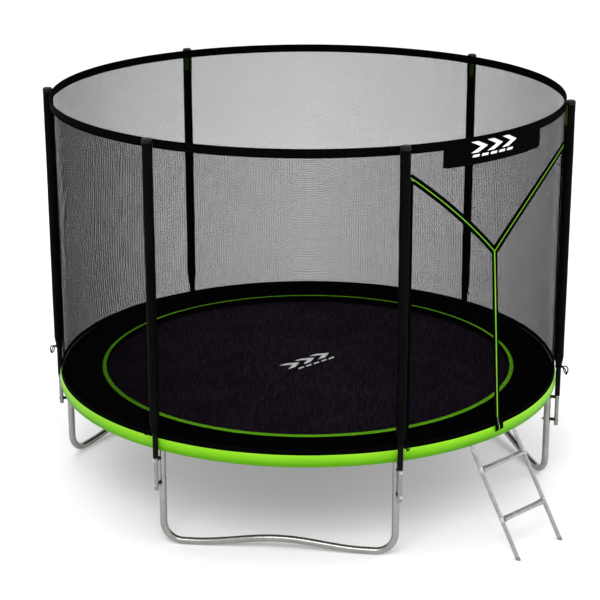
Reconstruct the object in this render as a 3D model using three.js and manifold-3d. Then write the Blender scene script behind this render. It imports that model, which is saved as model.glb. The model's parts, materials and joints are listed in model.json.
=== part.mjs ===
// Backyard trampoline with safety net, about 3.1 m across: millimetres, +Z up.
// It is laid out around the middle of the jump mat, with the door facing -Y and the floor at z = 0.
// The last lines move the whole group, so that its origin is the middle of the base of its box.
import * as THREE from "three";
import { mergeVertices } from "three/addons/utils/BufferGeometryUtils.js";
import Module from "manifold-3d";

const wasm = await Module();
wasm.setup();

// ---------------------------------------------------------------- driving dimensions

const GAP = 0.3; // between faces that touch
const SIDES = 12; // facets round a steel tube
const BORE_SIDES = 8; // facets round its bore
const WALL = 1.5; // steel tube wall
const RING_SIDES = 60; // facets round the mat, the pad and the net's hoop

// Six poles stand round the frame; a U-leg joins 1-2, 3-4 and 5-6. The door is between 6 and 1.
const POLE_ANGLES = [-60.7, -1.9, 73, 130.7, 188.7, 240.8];
const LEG_PAIRS = [
  [0, 1],
  [2, 3],
  [4, 5],
];
const DOOR_FROM = POLE_ANGLES[5] - 360;
const DOOR_TO = POLE_ANGLES[0];

const FRAME = { radius: 1525, z: 620, tube: 19, step: 6 }; // round rail, bent in steps of degrees
const JOINT_AFTER = -6; // degrees from each leg socket to the joint of two rail pieces
const SPIGOT = { radius: 13, length: 60, rooted: 25 };
const SOCKET = { radius: 17.2, bottom: 557 }; // peg under the rail that the leg slides over

// hump: how far the middle of the base bar lifts; foot: the straight stretch on the ground,
// level between a lead at each end of it
const LEG = { tube: 21, top: 598, bend: 115, hump: 46, foot: 50, lead: 12 };
const POLE_RADIUS = 1583; // from the middle to each pole's axis
const LOWER_POLE = { tube: 12.7, bottom: 356, top: 760 };
const UPPER_POLE = { tube: 16, wall: 1.6, bottom: 553, top: 2386 };
const FOAM = { outer: 29, bore: 17.7, bottom: 738, top: 2385 };
const CAP = { radius: 29.5, top: 2412, skirt: 2386.5, plug: 13, plugLength: 26 };
const BOLT = { radius: 4, hole: 4.6, heights: [391, 541], head: 7.5, headLength: 5.5, spacer: 10 };

const MAT = { radius: 1340, top: 626, thickness: 3 };
const SPRING = { count: 54, radius: 5.5, z: 620, ringIn: 1343.6, ringOut: 1349.6 };
const PAD = { inner: 1280, outer: 1555.5, bottom: 647, top: 674 };
const SKIRT = { outer: 1560, bottom: 594, top: 674 };

const NET = { radius: 1551.5, half: 0.8, bottom: 677, top: 2361 };
const HOOP = { inner: 1547.2, outer: 1553.4, bottom: 2361.6, top: 2403 };
const BANNER = { from: -110.5, to: -81.3, inner: 1555, outer: 1557, bottom: 2250, top: 2400 };
const WALL_EDGE = 1.3; // degrees inside a door pole where the net wall stops
const DOOR_EDGE = 1.8; // degrees inside a door pole where the door net starts
const JUNCTION = { angle: -96.3, z: 1727 }; // where the zip forks
const ZIP_FOOT = -93.45; // angle of the zip at the pad
const BRANCH_TOP = { left: 2219, right: 2145 }; // heights where the forks reach the poles
const BRANCH_BOW = { left: 18, right: 112 }; // how far each fork bows above a straight line
const SEAM = 3; // cut between the door flaps and the net round them
const SLIDER = { width: 13, height: 26, depth: 8, z: 704, aside: 0.35 }; // on the left flap

// The ladder leans on the rail and hooks over it; its own frame has x across, y outwards.
const LADDER = {
  angle: -94, // where it hangs on the frame
  half: 190, // half the distance between its rails
  tube: 12.5,
  foot: 1910, // distance of its feet from the middle
  start: 62, // from the hook's centre down to the top of the tube
  rungs: [205, 462],
  rungHalf: 19,
  rungThick: 9,
};
const HOOK = { inner: 22.8, outer: 26.2, width: 20, from: 215, to: -62 };

const COLOURS = {
  galvanised: { color: 0x9fa5a0, roughness: 0.4, metalness: 0.9 },
  ladder: { color: 0xb4b5b9, roughness: 0.38, metalness: 0.8 },
  bolt: { color: 0x8c8f92, roughness: 0.35, metalness: 0.95 },
  blackTube: { color: 0x141414, roughness: 0.45, metalness: 0.4 },
  foam: { color: 0x171717, roughness: 0.6, metalness: 0 },
  cap: { color: 0x1d1d1d, roughness: 0.5, metalness: 0 },
  mat: { color: 0x1b171d, roughness: 0.85, metalness: 0 },
  pad: { color: 0x060606, roughness: 0.45, metalness: 0 },
  skirt: { color: 0x76d414, roughness: 0.55, metalness: 0 },
  net: { color: 0x2b2b2b, roughness: 0.9, metalness: 0 },
  band: { color: 0x050505, roughness: 0.7, metalness: 0 },
};

const rad = THREE.MathUtils.degToRad;
const lerp = THREE.MathUtils.lerp;
const trampoline = new THREE.Group();

// ---------------------------------------------------------------- helpers

function material(key) {
  return new THREE.MeshStandardMaterial(COLOURS[key]);
}

function place(name, geometry, key, parent = trampoline) {
  const mesh = new THREE.Mesh(geometry, material(key));
  mesh.name = name;
  parent.add(mesh);
  return mesh;
}

// A solid for cutting and joining, from a closed geometry.
function solid(geometry) {
  const bare = geometry.clone();
  bare.deleteAttribute("normal");
  bare.deleteAttribute("uv");
  const merged = mergeVertices(bare, 1e-3);
  const mesh = new wasm.Mesh({
    numProp: 3,
    vertProperties: merged.attributes.position.array,
    triVerts: new Uint32Array(merged.index.array),
  });
  return new wasm.Manifold(mesh);
}

function geometryOf(made) {
  const mesh = made.getMesh();
  const geometry = new THREE.BufferGeometry();
  geometry.setAttribute("position", new THREE.BufferAttribute(mesh.vertProperties, 3));
  geometry.setIndex(new THREE.BufferAttribute(mesh.triVerts, 1));
  const flat = geometry.toNonIndexed();
  flat.computeVertexNormals();
  return flat;
}

// A path through given points, with one cross-section at each of them.
class PointPath extends THREE.Curve {
  constructor(points, isArc) {
    super();
    this.points = points;
    this.isArc = isArc; // an arc's ends are cut square to the arc, not to its first chord
  }

  getPoint(t) {
    const at = t * (this.points.length - 1);
    const index = Math.min(Math.floor(at), this.points.length - 2);
    return this.points[index].clone().lerp(this.points[index + 1], at - index);
  }

  getPointAt(t) {
    return this.getPoint(t);
  }

  getTangentAt(t) {
    const last = this.points.length - 1;
    const index = Math.round(t * last);
    const before = this.points[Math.max(index - 1, 0)];
    const here = this.points[index];
    const after = this.points[Math.min(index + 1, last)];
    const arriving = here.clone().sub(before).normalize();
    const leaving = after.clone().sub(here).normalize();
    const mean = arriving.clone().add(leaving).normalize();
    if (!this.isArc || (index > 0 && index < last)) return mean;
    const inner = this.getTangentAt(index === 0 ? 1 / last : (last - 1) / last);
    const chord = index === 0 ? leaving : arriving;
    return chord.multiplyScalar(2 * chord.dot(inner)).sub(inner).normalize();
  }
}

// A regular polygon with a flat on each axis, as wide across its corners as a circle's diameter.
function polygon(Kind, radius, sides) {
  const outline = new Kind();
  for (let i = 0; i <= sides; i += 1) {
    const angle = ((i + 0.5) / sides) * 2 * Math.PI;
    const point = [radius * Math.cos(angle), radius * Math.sin(angle)];
    if (i === 0) outline.moveTo(...point);
    else outline.lineTo(...point);
  }
  return outline;
}

// A tube along points; with a bore it is open at both ends.
function tubeAlong(points, radius, bore = 0, sides = SIDES, isArc = false) {
  const section = polygon(THREE.Shape, radius, sides);
  if (bore > 0) section.holes.push(polygon(THREE.Path, bore, BORE_SIDES));
  const extrudePath = new PointPath(points, isArc);
  return new THREE.ExtrudeGeometry(section, { steps: points.length - 1, extrudePath });
}

function uprightTube(radius, bore, bottom, top, sides = SIDES) {
  const ends = [new THREE.Vector3(0, 0, bottom), new THREE.Vector3(0, 0, top)];
  return tubeAlong(ends, radius, bore, sides);
}

// A point on the plan of the trampoline.
function polar(radius, degrees, z) {
  return new THREE.Vector3(radius * Math.cos(rad(degrees)), radius * Math.sin(rad(degrees)), z);
}

function arcPoints(radius, from, to, z, steps) {
  return Array.from({ length: steps + 1 }, (_, i) => polar(radius, lerp(from, to, i / steps), z));
}

// A whole ring of rectangular section, turned about the middle.
function ring(inner, outer, bottom, top, segments = RING_SIDES) {
  const corners = [
    [inner, bottom],
    [outer, bottom],
    [outer, top],
    [inner, top],
    [inner, bottom],
  ];
  const profile = corners.map(([radius, z]) => new THREE.Vector2(radius, z));
  return new THREE.LatheGeometry(profile, segments).rotateX(Math.PI / 2);
}

// A solid turned about +Z from its outline, given as radius and height, starting on the axis.
function turned(outline, sides) {
  const profile = outline.map(([radius, z]) => new THREE.Vector2(radius, z));
  return new THREE.LatheGeometry(profile, sides).rotateX(Math.PI / 2);
}

// A thin net panel that follows the round frame. Each column gives the angle and height of its
// foot and of its head.
function netPanel(columns, inner, outer) {
  const positions = [];
  const index = [];
  for (const [footAngle, footZ, headAngle, headZ] of columns) {
    for (const radius of [inner, outer]) {
      positions.push(...polar(radius, footAngle, footZ).toArray());
      positions.push(...polar(radius, headAngle, headZ).toArray());
    }
  }
  // Corners of a column: 0 inner foot, 1 inner head, 2 outer foot, 3 outer head.
  const quad = (a, b, c, d) => index.push(a, b, c, a, c, d);
  const last = (columns.length - 1) * 4;
  for (let base = 0; base < last; base += 4) {
    const next = base + 4;
    quad(base, base + 1, next + 1, next);
    quad(base + 2, next + 2, next + 3, base + 3);
    quad(base, next, next + 2, base + 2);
    quad(base + 1, base + 3, next + 3, next + 1);
  }
  quad(0, 2, 3, 1);
  quad(last, last + 1, last + 3, last + 2);
  const geometry = new THREE.BufferGeometry();
  geometry.setAttribute("position", new THREE.Float32BufferAttribute(positions, 3));
  geometry.setIndex(index);
  const flat = geometry.toNonIndexed();
  flat.computeVertexNormals();
  return flat;
}

// ---------------------------------------------------------------- frame rail

// Six bent tubes. Each has a spigot at its end for the next one, and a peg for a leg.
function railSegment(angle, nextAngle) {
  const from = angle + JOINT_AFTER;
  const to = nextAngle + JOINT_AFTER;
  const steps = Math.ceil((to - from) / FRAME.step);
  const bore = FRAME.tube - WALL;
  const arc = (start, end, steps, radius, hollow = 0) =>
    solid(tubeAlong(arcPoints(FRAME.radius, start, end, FRAME.z, steps), radius, hollow, SIDES, true));
  const rooted = THREE.MathUtils.radToDeg(SPIGOT.rooted / FRAME.radius);
  const reach = THREE.MathUtils.radToDeg(SPIGOT.length / FRAME.radius);
  const slack = THREE.MathUtils.radToDeg(GAP / FRAME.radius);
  const tube = arc(from + slack, to, steps, FRAME.tube, bore);
  const plug = arc(to - rooted, to - slack, 2, bore + 0.6);
  const spigot = arc(to - rooted, to + reach, 3, SPIGOT.radius);
  const peg = solid(
    uprightTube(SOCKET.radius, 0, SOCKET.bottom, FRAME.z - bore * 0.8)
      .rotateZ(rad(angle))
      .translate(...polar(FRAME.radius, angle, 0).toArray()),
  );
  return geometryOf(tube.add(plug).add(spigot).add(peg));
}

POLE_ANGLES.forEach((angle, i) => {
  const next = i < POLE_ANGLES.length - 1 ? POLE_ANGLES[i + 1] : POLE_ANGLES[0] + 360;
  place(`rail_${i + 1}`, railSegment(angle, next), "galvanised");
});

// ---------------------------------------------------------------- U-legs

// A round bend from one direction to another, as points with one step for each 22.5 degrees.
function bend(centre, radius, from, to, steps = 4) {
  return Array.from({ length: steps + 1 }, (_, i) => {
    const angle = rad(lerp(from, to, i / steps));
    const x = centre[0] + radius * Math.cos(angle);
    return new THREE.Vector3(x, 0, centre[1] + radius * Math.sin(angle));
  });
}

// Built upright over the x axis, then turned to the chord between its two sockets.
function legGeometry(halfSpan) {
  const low = LEG.tube * Math.cos(Math.PI / SIDES);
  const bendX = halfSpan - LEG.bend;
  const bendZ = low + LEG.bend;
  const flatEnd = bendX - LEG.foot;
  const humpSteps = 8;
  const hump = Array.from({ length: humpSteps + 1 }, (_, i) => {
    const x = lerp(-flatEnd, flatEnd, i / humpSteps);
    return new THREE.Vector3(x, 0, low + (LEG.hump / 2) * (1 + Math.cos((Math.PI * x) / flatEnd)));
  });
  const path = [
    new THREE.Vector3(-halfSpan, 0, LEG.top),
    ...bend([-bendX, bendZ], LEG.bend, 180, 270),
    new THREE.Vector3(LEG.lead - bendX, 0, low),
    new THREE.Vector3(-flatEnd - LEG.lead, 0, low),
    ...hump,
    new THREE.Vector3(flatEnd + LEG.lead, 0, low),
    new THREE.Vector3(bendX - LEG.lead, 0, low),
    ...bend([bendX, bendZ], LEG.bend, 270, 360),
    new THREE.Vector3(halfSpan, 0, LEG.top),
  ];
  return tubeAlong(path, LEG.tube, LEG.tube - WALL);
}

// A cutter for a bolt hole, lying along the radius of the trampoline.
function boltHole(angle, z, from, to) {
  return solid(tubeAlong([polar(from, angle, z), polar(to, angle, z)], BOLT.hole, 0, 6));
}

LEG_PAIRS.forEach(([first, second], i) => {
  const angles = [POLE_ANGLES[first], POLE_ANGLES[second]];
  const middle = (angles[0] + angles[1]) / 2;
  const spread = rad((angles[1] - angles[0]) / 2);
  const leg = legGeometry(FRAME.radius * Math.sin(spread))
    .rotateZ(rad(middle + 90))
    .translate(...polar(FRAME.radius * Math.cos(spread), middle, 0).toArray());
  let drilled = solid(leg);
  for (const angle of angles) {
    for (const z of BOLT.heights) {
      drilled = drilled.subtract(boltHole(angle, z, FRAME.radius - 40, FRAME.radius + 40));
    }
  }
  place(`leg_${["right", "back", "left"][i]}`, geometryOf(drilled), "galvanised");
});

// ---------------------------------------------------------------- net poles

function lowerPole(angle) {
  let tube = solid(
    uprightTube(LOWER_POLE.tube, LOWER_POLE.tube - WALL, LOWER_POLE.bottom, LOWER_POLE.top)
      .rotateZ(rad(angle))
      .translate(...polar(POLE_RADIUS, angle, 0).toArray()),
  );
  for (const z of BOLT.heights) {
    tube = tube.subtract(boltHole(angle, z, POLE_RADIUS - 30, POLE_RADIUS + 30));
  }
  return geometryOf(tube);
}

// A moulded cap: a dome over the pole with a plug that goes down its bore.
function capGeometry() {
  const dome = CAP.top - CAP.skirt;
  return turned(
    [
      [0, CAP.skirt - CAP.plugLength],
      [CAP.plug, CAP.skirt - CAP.plugLength],
      [CAP.plug, CAP.skirt],
      [CAP.radius, CAP.skirt],
      [CAP.radius, CAP.skirt + dome * 0.55],
      [CAP.radius * 0.87, CAP.skirt + dome * 0.87],
      [0, CAP.top],
    ],
    SIDES,
  );
}

// Bolt, nut and spacer in one, lying along +Z from the leg's inner face to beyond the pole.
function boltGeometry() {
  const legFace = FRAME.radius - LEG.tube - GAP;
  const legOuter = FRAME.radius + LEG.tube + GAP;
  const poleInner = POLE_RADIUS - LOWER_POLE.tube - GAP;
  const poleOuter = POLE_RADIUS + LOWER_POLE.tube + GAP;
  return turned(
    [
      [0, legFace - BOLT.headLength],
      [BOLT.head, legFace - BOLT.headLength],
      [BOLT.head, legFace],
      [BOLT.radius, legFace],
      [BOLT.radius, legOuter],
      [BOLT.spacer, legOuter],
      [BOLT.spacer, poleInner],
      [BOLT.radius, poleInner],
      [BOLT.radius, poleOuter],
      [BOLT.head, poleOuter],
      [BOLT.head, poleOuter + BOLT.headLength],
      [0, poleOuter + BOLT.headLength],
    ],
    6,
  );
}

POLE_ANGLES.forEach((angle, i) => {
  const number = i + 1;
  place(`pole_lower_${number}`, lowerPole(angle), "galvanised");
  const station = new THREE.Group();
  station.position.copy(polar(POLE_RADIUS, angle, 0));
  station.rotation.z = rad(angle);
  trampoline.add(station);
  const upperBore = UPPER_POLE.tube - UPPER_POLE.wall;
  const upper = uprightTube(UPPER_POLE.tube, upperBore, UPPER_POLE.bottom, UPPER_POLE.top);
  place(`pole_upper_${number}`, upper, "blackTube", station);
  const sleeve = uprightTube(FOAM.outer, FOAM.bore, FOAM.bottom, FOAM.top);
  place(`foam_sleeve_${number}`, sleeve, "foam", station);
  place(`pole_cap_${number}`, capGeometry(), "cap", station);
  BOLT.heights.forEach((z, level) => {
    const spoke = new THREE.Group();
    spoke.position.z = z;
    spoke.rotation.z = rad(angle);
    trampoline.add(spoke);
    const bolt = place(`bolt_${["low", "high"][level]}_${number}`, boltGeometry(), "bolt", spoke);
    bolt.rotation.y = Math.PI / 2;
  });
});

// ---------------------------------------------------------------- jump mat, springs and padding

place(
  "jump_mat",
  turned(
    [
      [0, MAT.top - MAT.thickness],
      [MAT.radius, MAT.top - MAT.thickness],
      [MAT.radius, MAT.top],
      [0, MAT.top],
    ],
    RING_SIDES,
  ),
  "mat",
);

// The springs, joined by the edge wire that they hook on to.
function springs() {
  const wire = ring(
    SPRING.ringIn,
    SPRING.ringOut,
    SPRING.z - SPRING.radius * 0.6,
    SPRING.z + SPRING.radius * 0.6,
    SPRING.count,
  );
  let joined = solid(wire);
  const outerEnd = FRAME.radius * Math.cos(rad(FRAME.step / 2)) - FRAME.tube - GAP;
  const spokes = Array.from({ length: SPRING.count }, (_, i) => {
    const angle = ((i + 0.5) / SPRING.count) * 360;
    const ends = [
      polar(SPRING.ringOut - 2, angle, SPRING.z),
      polar(outerEnd, angle, SPRING.z),
    ];
    return solid(tubeAlong(ends, SPRING.radius, 0, 4));
  });
  for (const spoke of spokes) joined = joined.add(spoke);
  return geometryOf(joined);
}

place("springs", springs(), "bolt");
place("safety_pad", ring(PAD.inner, PAD.outer, PAD.bottom, PAD.top), "pad");
place("pad_skirt", ring(PAD.outer + GAP, SKIRT.outer, SKIRT.bottom, SKIRT.top), "skirt");

// ---------------------------------------------------------------- net, door and banner

const netInner = NET.radius - NET.half;
const netOuter = NET.radius + NET.half;
const doorLeft = DOOR_FROM + DOOR_EDGE;
const doorRight = DOOR_TO - DOOR_EDGE;

// Height of a fork of the zip at a fraction of the way from the junction to its pole.
function forkHeight(side, fraction) {
  const straight = lerp(JUNCTION.z, BRANCH_TOP[side], fraction);
  return straight + BRANCH_BOW[side] * 4 * fraction * (1 - fraction);
}

function wallColumns() {
  const from = DOOR_TO - WALL_EDGE;
  const to = DOOR_FROM + WALL_EDGE + 360;
  const steps = 54;
  return Array.from({ length: steps + 1 }, (_, i) => {
    const angle = lerp(from, to, i / steps);
    return [angle, NET.bottom, angle, NET.top];
  });
}

function headerColumns() {
  const steps = 6;
  const left = Array.from({ length: steps }, (_, i) => {
    const fraction = 1 - i / steps;
    const angle = lerp(JUNCTION.angle, doorLeft, fraction);
    return [angle, forkHeight("left", fraction) + SEAM, angle, NET.top];
  });
  const right = Array.from({ length: steps + 1 }, (_, i) => {
    const fraction = i / steps;
    const angle = lerp(JUNCTION.angle, doorRight, fraction);
    return [angle, forkHeight("right", fraction) + SEAM, angle, NET.top];
  });
  return [...left, ...right];
}

// A flap hangs from its pole side to the zip, under its fork.
function flapColumns(side, edge) {
  const steps = 6;
  const seam = side === "left" ? -0.06 : 0.06; // degrees back from the zip line
  return Array.from({ length: steps + 1 }, (_, i) => {
    const fraction = i / steps;
    const foot = lerp(ZIP_FOOT + seam, edge, fraction);
    const head = lerp(JUNCTION.angle + seam, edge, fraction);
    return [foot, NET.bottom, head, forkHeight(side, fraction) - SEAM];
  });
}

place("net_wall", netPanel(wallColumns(), netInner, netOuter), "net");
place("net_header", netPanel(headerColumns(), netInner, netOuter), "net");
place("door_flap_right", netPanel(flapColumns("right", doorRight), netInner, netOuter), "net");
const leftColumns = flapColumns("left", doorLeft).reverse();
place("door_flap_left", netPanel(leftColumns, netInner, netOuter), "net");
place("net_hoop", ring(HOOP.inner, HOOP.outer, HOOP.bottom, HOOP.top), "band");

function bannerColumns() {
  const steps = 7;
  return Array.from({ length: steps + 1 }, (_, i) => {
    const angle = lerp(BANNER.from, BANNER.to, i / steps);
    return [angle, BANNER.bottom, angle, BANNER.top];
  });
}

place("banner", netPanel(bannerColumns(), BANNER.inner, BANNER.outer), "band");

// The zip slider sits in front of the zip, at its foot.
function sliderGeometry() {
  const { width, height, depth } = SLIDER;
  const outline = new THREE.Shape();
  outline.moveTo(-width / 2, -height / 2 + 5);
  outline.lineTo(-width / 3, -height / 2);
  outline.lineTo(width / 3, -height / 2);
  outline.lineTo(width / 2, -height / 2 + 5);
  outline.lineTo(width / 2, height / 2);
  outline.lineTo(-width / 2, height / 2);
  outline.closePath();
  const grip = new THREE.ExtrudeGeometry(outline, { depth, bevelEnabled: false });
  return grip.rotateX(Math.PI / 2).rotateZ(Math.PI / 2);
}

const zipRise = (SLIDER.z - NET.bottom) / (JUNCTION.z - NET.bottom);
const sliderAngle = lerp(ZIP_FOOT, JUNCTION.angle, zipRise) - SLIDER.aside;
const slider = place("zip_slider", sliderGeometry(), "bolt");
slider.position.copy(polar(netOuter + 1 + SLIDER.depth, sliderAngle, SLIDER.z));
slider.rotation.z = rad(sliderAngle);

// ---------------------------------------------------------------- ladder

// Built in its own frame: x across, y outwards from the middle, z up.
const ladder = new THREE.Group();
ladder.rotation.z = rad(LADDER.angle - 90);
trampoline.add(ladder);

const hookDistance = Math.sqrt(FRAME.radius ** 2 - LADDER.half ** 2);
const lean = Math.atan2(LADDER.foot - hookDistance, FRAME.z);
const down = new THREE.Vector3(0, Math.sin(lean), -Math.cos(lean));

function alongRail(x, distance) {
  return new THREE.Vector3(x, hookDistance, FRAME.z).addScaledVector(down, distance);
}

// The strap that goes over the frame rail and down to the tube.
function hookGeometry() {
  const strap = new THREE.Shape();
  const thick = HOOK.outer - HOOK.inner;
  strap.absarc(0, 0, HOOK.outer, rad(HOOK.from), rad(HOOK.to), true);
  const reach = LADDER.start + 22;
  const along = [Math.sin(lean), -Math.cos(lean)];
  const side = [Math.cos(lean), Math.sin(lean)];
  const tip = [along[0] * reach, along[1] * reach];
  strap.lineTo(tip[0] + (side[0] * thick) / 2, tip[1] + (side[1] * thick) / 2);
  strap.lineTo(tip[0] - (side[0] * thick) / 2, tip[1] - (side[1] * thick) / 2);
  strap.absarc(0, 0, HOOK.inner, rad(HOOK.to - 6), rad(HOOK.from), false);
  strap.closePath();
  const band = new THREE.ExtrudeGeometry(strap, {
    depth: HOOK.width,
    bevelEnabled: false,
    curveSegments: 9,
  });
  return band.rotateX(Math.PI / 2).rotateZ(Math.PI / 2).translate(-HOOK.width / 2, 0, 0);
}

function ladderRail(x) {
  const length = (FRAME.z - LADDER.tube * 0.2) / Math.cos(lean);
  const tube = solid(
    tubeAlong([alongRail(x, LADDER.start), alongRail(x, length + 20)], LADDER.tube, LADDER.tube - WALL),
  );
  const web = solid(
    tubeAlong([alongRail(x, LADDER.start + 2), alongRail(x, LADDER.start + 22)], LADDER.tube - 1),
  );
  const hook = solid(hookGeometry().translate(x, hookDistance, FRAME.z));
  const floor = solid(
    new THREE.BoxGeometry(400, 400, 200).translate(x, LADDER.foot, -100),
  );
  return geometryOf(tube.add(web).add(hook).subtract(floor));
}

// A pressed tread with flared ends, lying between the rails.
function rungGeometry() {
  const end = LADDER.half - LADDER.tube - GAP;
  const flare = LADDER.rungHalf * 0.62;
  const outline = new THREE.Shape();
  outline.moveTo(-end, -LADDER.rungHalf);
  outline.quadraticCurveTo(-end + 40, -flare, -end + 90, -flare);
  outline.lineTo(end - 90, -flare);
  outline.quadraticCurveTo(end - 40, -flare, end, -LADDER.rungHalf);
  outline.lineTo(end, LADDER.rungHalf);
  outline.quadraticCurveTo(end - 40, flare, end - 90, flare);
  outline.lineTo(-end + 90, flare);
  outline.quadraticCurveTo(-end + 40, flare, -end, LADDER.rungHalf);
  outline.closePath();
  const depth = LADDER.rungThick;
  const plate = new THREE.ExtrudeGeometry(outline, { depth, bevelEnabled: false, curveSegments: 3 });
  return plate.translate(0, 0, -depth / 2);
}

place("ladder_rail_left", ladderRail(-LADDER.half), "ladder", ladder);
place("ladder_rail_right", ladderRail(LADDER.half), "ladder", ladder);
LADDER.rungs.forEach((z, i) => {
  const rung = place(`ladder_rung_${["lower", "upper"][i]}`, rungGeometry(), "ladder", ladder);
  rung.position.copy(alongRail(0, (FRAME.z - z) / Math.cos(lean)));
});

// ---------------------------------------------------------------- the part's own origin

const box = new THREE.Box3().setFromObject(trampoline, true);
const middle = box.getCenter(new THREE.Vector3());
trampoline.position.set(-middle.x, -middle.y, -box.min.z);

export default trampoline;
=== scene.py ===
"""A backyard trampoline with a safety net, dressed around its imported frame. Metres, +Z up."""
import json
import math

import bmesh
import bpy
import numpy as np
from mathutils import Matrix, Vector, noise


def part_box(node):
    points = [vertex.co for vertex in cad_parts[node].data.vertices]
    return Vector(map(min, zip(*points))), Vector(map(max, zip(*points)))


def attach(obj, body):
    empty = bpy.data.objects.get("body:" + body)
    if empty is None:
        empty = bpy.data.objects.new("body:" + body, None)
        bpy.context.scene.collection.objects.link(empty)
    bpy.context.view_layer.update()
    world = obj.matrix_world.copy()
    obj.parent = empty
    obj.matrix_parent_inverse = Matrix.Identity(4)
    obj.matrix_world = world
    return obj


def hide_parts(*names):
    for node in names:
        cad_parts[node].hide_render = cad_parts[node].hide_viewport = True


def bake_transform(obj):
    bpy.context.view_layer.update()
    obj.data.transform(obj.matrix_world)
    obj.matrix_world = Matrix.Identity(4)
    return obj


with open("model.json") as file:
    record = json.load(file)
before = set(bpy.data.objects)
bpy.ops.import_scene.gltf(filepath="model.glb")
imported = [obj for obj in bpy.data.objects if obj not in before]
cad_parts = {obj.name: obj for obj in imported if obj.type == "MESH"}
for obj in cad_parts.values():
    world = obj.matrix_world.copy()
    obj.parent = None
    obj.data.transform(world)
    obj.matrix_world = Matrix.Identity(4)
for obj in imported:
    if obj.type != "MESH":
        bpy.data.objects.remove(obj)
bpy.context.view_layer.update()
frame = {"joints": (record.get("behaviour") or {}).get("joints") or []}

# --- places, from the frame

POLES = range(1, 7)
UP = Vector((0, 0, 1))
mat_low, mat_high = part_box("jump_mat")
CENTRE = (mat_low + mat_high) / 2
CENTRE.z = 0
MAT_TOP = mat_high.z
MAT_RADIUS = (mat_high.x - mat_low.x) / 2
pad_low, pad_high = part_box("safety_pad")
skirt_low, skirt_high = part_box("pad_skirt")
SKIRT_RADIUS = (skirt_high.x - skirt_low.x) / 2
hoop_low, hoop_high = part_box("net_hoop")
net_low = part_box("net_wall")[0]
HOOP_RADIUS = (hoop_high.x - hoop_low.x) / 2 - 0.0031
NET_RADIUS = HOOP_RADIUS + 0.0012
NET_THICK = 0.0006
JOINTS = {j["name"]: j for j in frame["joints"]}


def middle(node):
    low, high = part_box(node)
    return (low + high) / 2


def bearing(point):
    """The direction of a point from the trampoline's middle, in degrees."""
    away = point - CENTRE
    return math.degrees(math.atan2(away.y, away.x))


def spoke(radius, degrees, z):
    """A point at a radius and a bearing from the trampoline's middle."""
    angle = math.radians(degrees)
    return CENTRE + Vector((radius * math.cos(angle), radius * math.sin(angle), z))


POLE_ANGLE = {i: bearing(middle(f"pole_upper_{i}")) for i in POLES}
POLE_RADIUS = (middle("pole_upper_2") - CENTRE).to_2d().length
FRAME_RADIUS = 1.525
TUBE = 0.019
LEG_TUBE = 0.021
POLE_TUBE = 0.0127

# The photograph's viewpoint, from the trampoline's middle.
EYE = Vector((-7.9846, -7.1391, 4.5823))
GAZE = Vector((0.70818, 0.63319, -0.31234))
FOCAL = 107.5
SHIFT = -0.0133


def camera():
    data = bpy.data.cameras.new("camera")
    data.lens = FOCAL
    data.shift_x = SHIFT
    data.clip_end = 200
    seat = bpy.data.objects.new("camera", data)
    seat.location = CENTRE + EYE
    seat.rotation_euler = GAZE.to_track_quat("-Z", "Y").to_euler()
    bpy.context.scene.collection.objects.link(seat)
    bpy.context.scene.camera = seat


camera()

# --- materials


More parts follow.
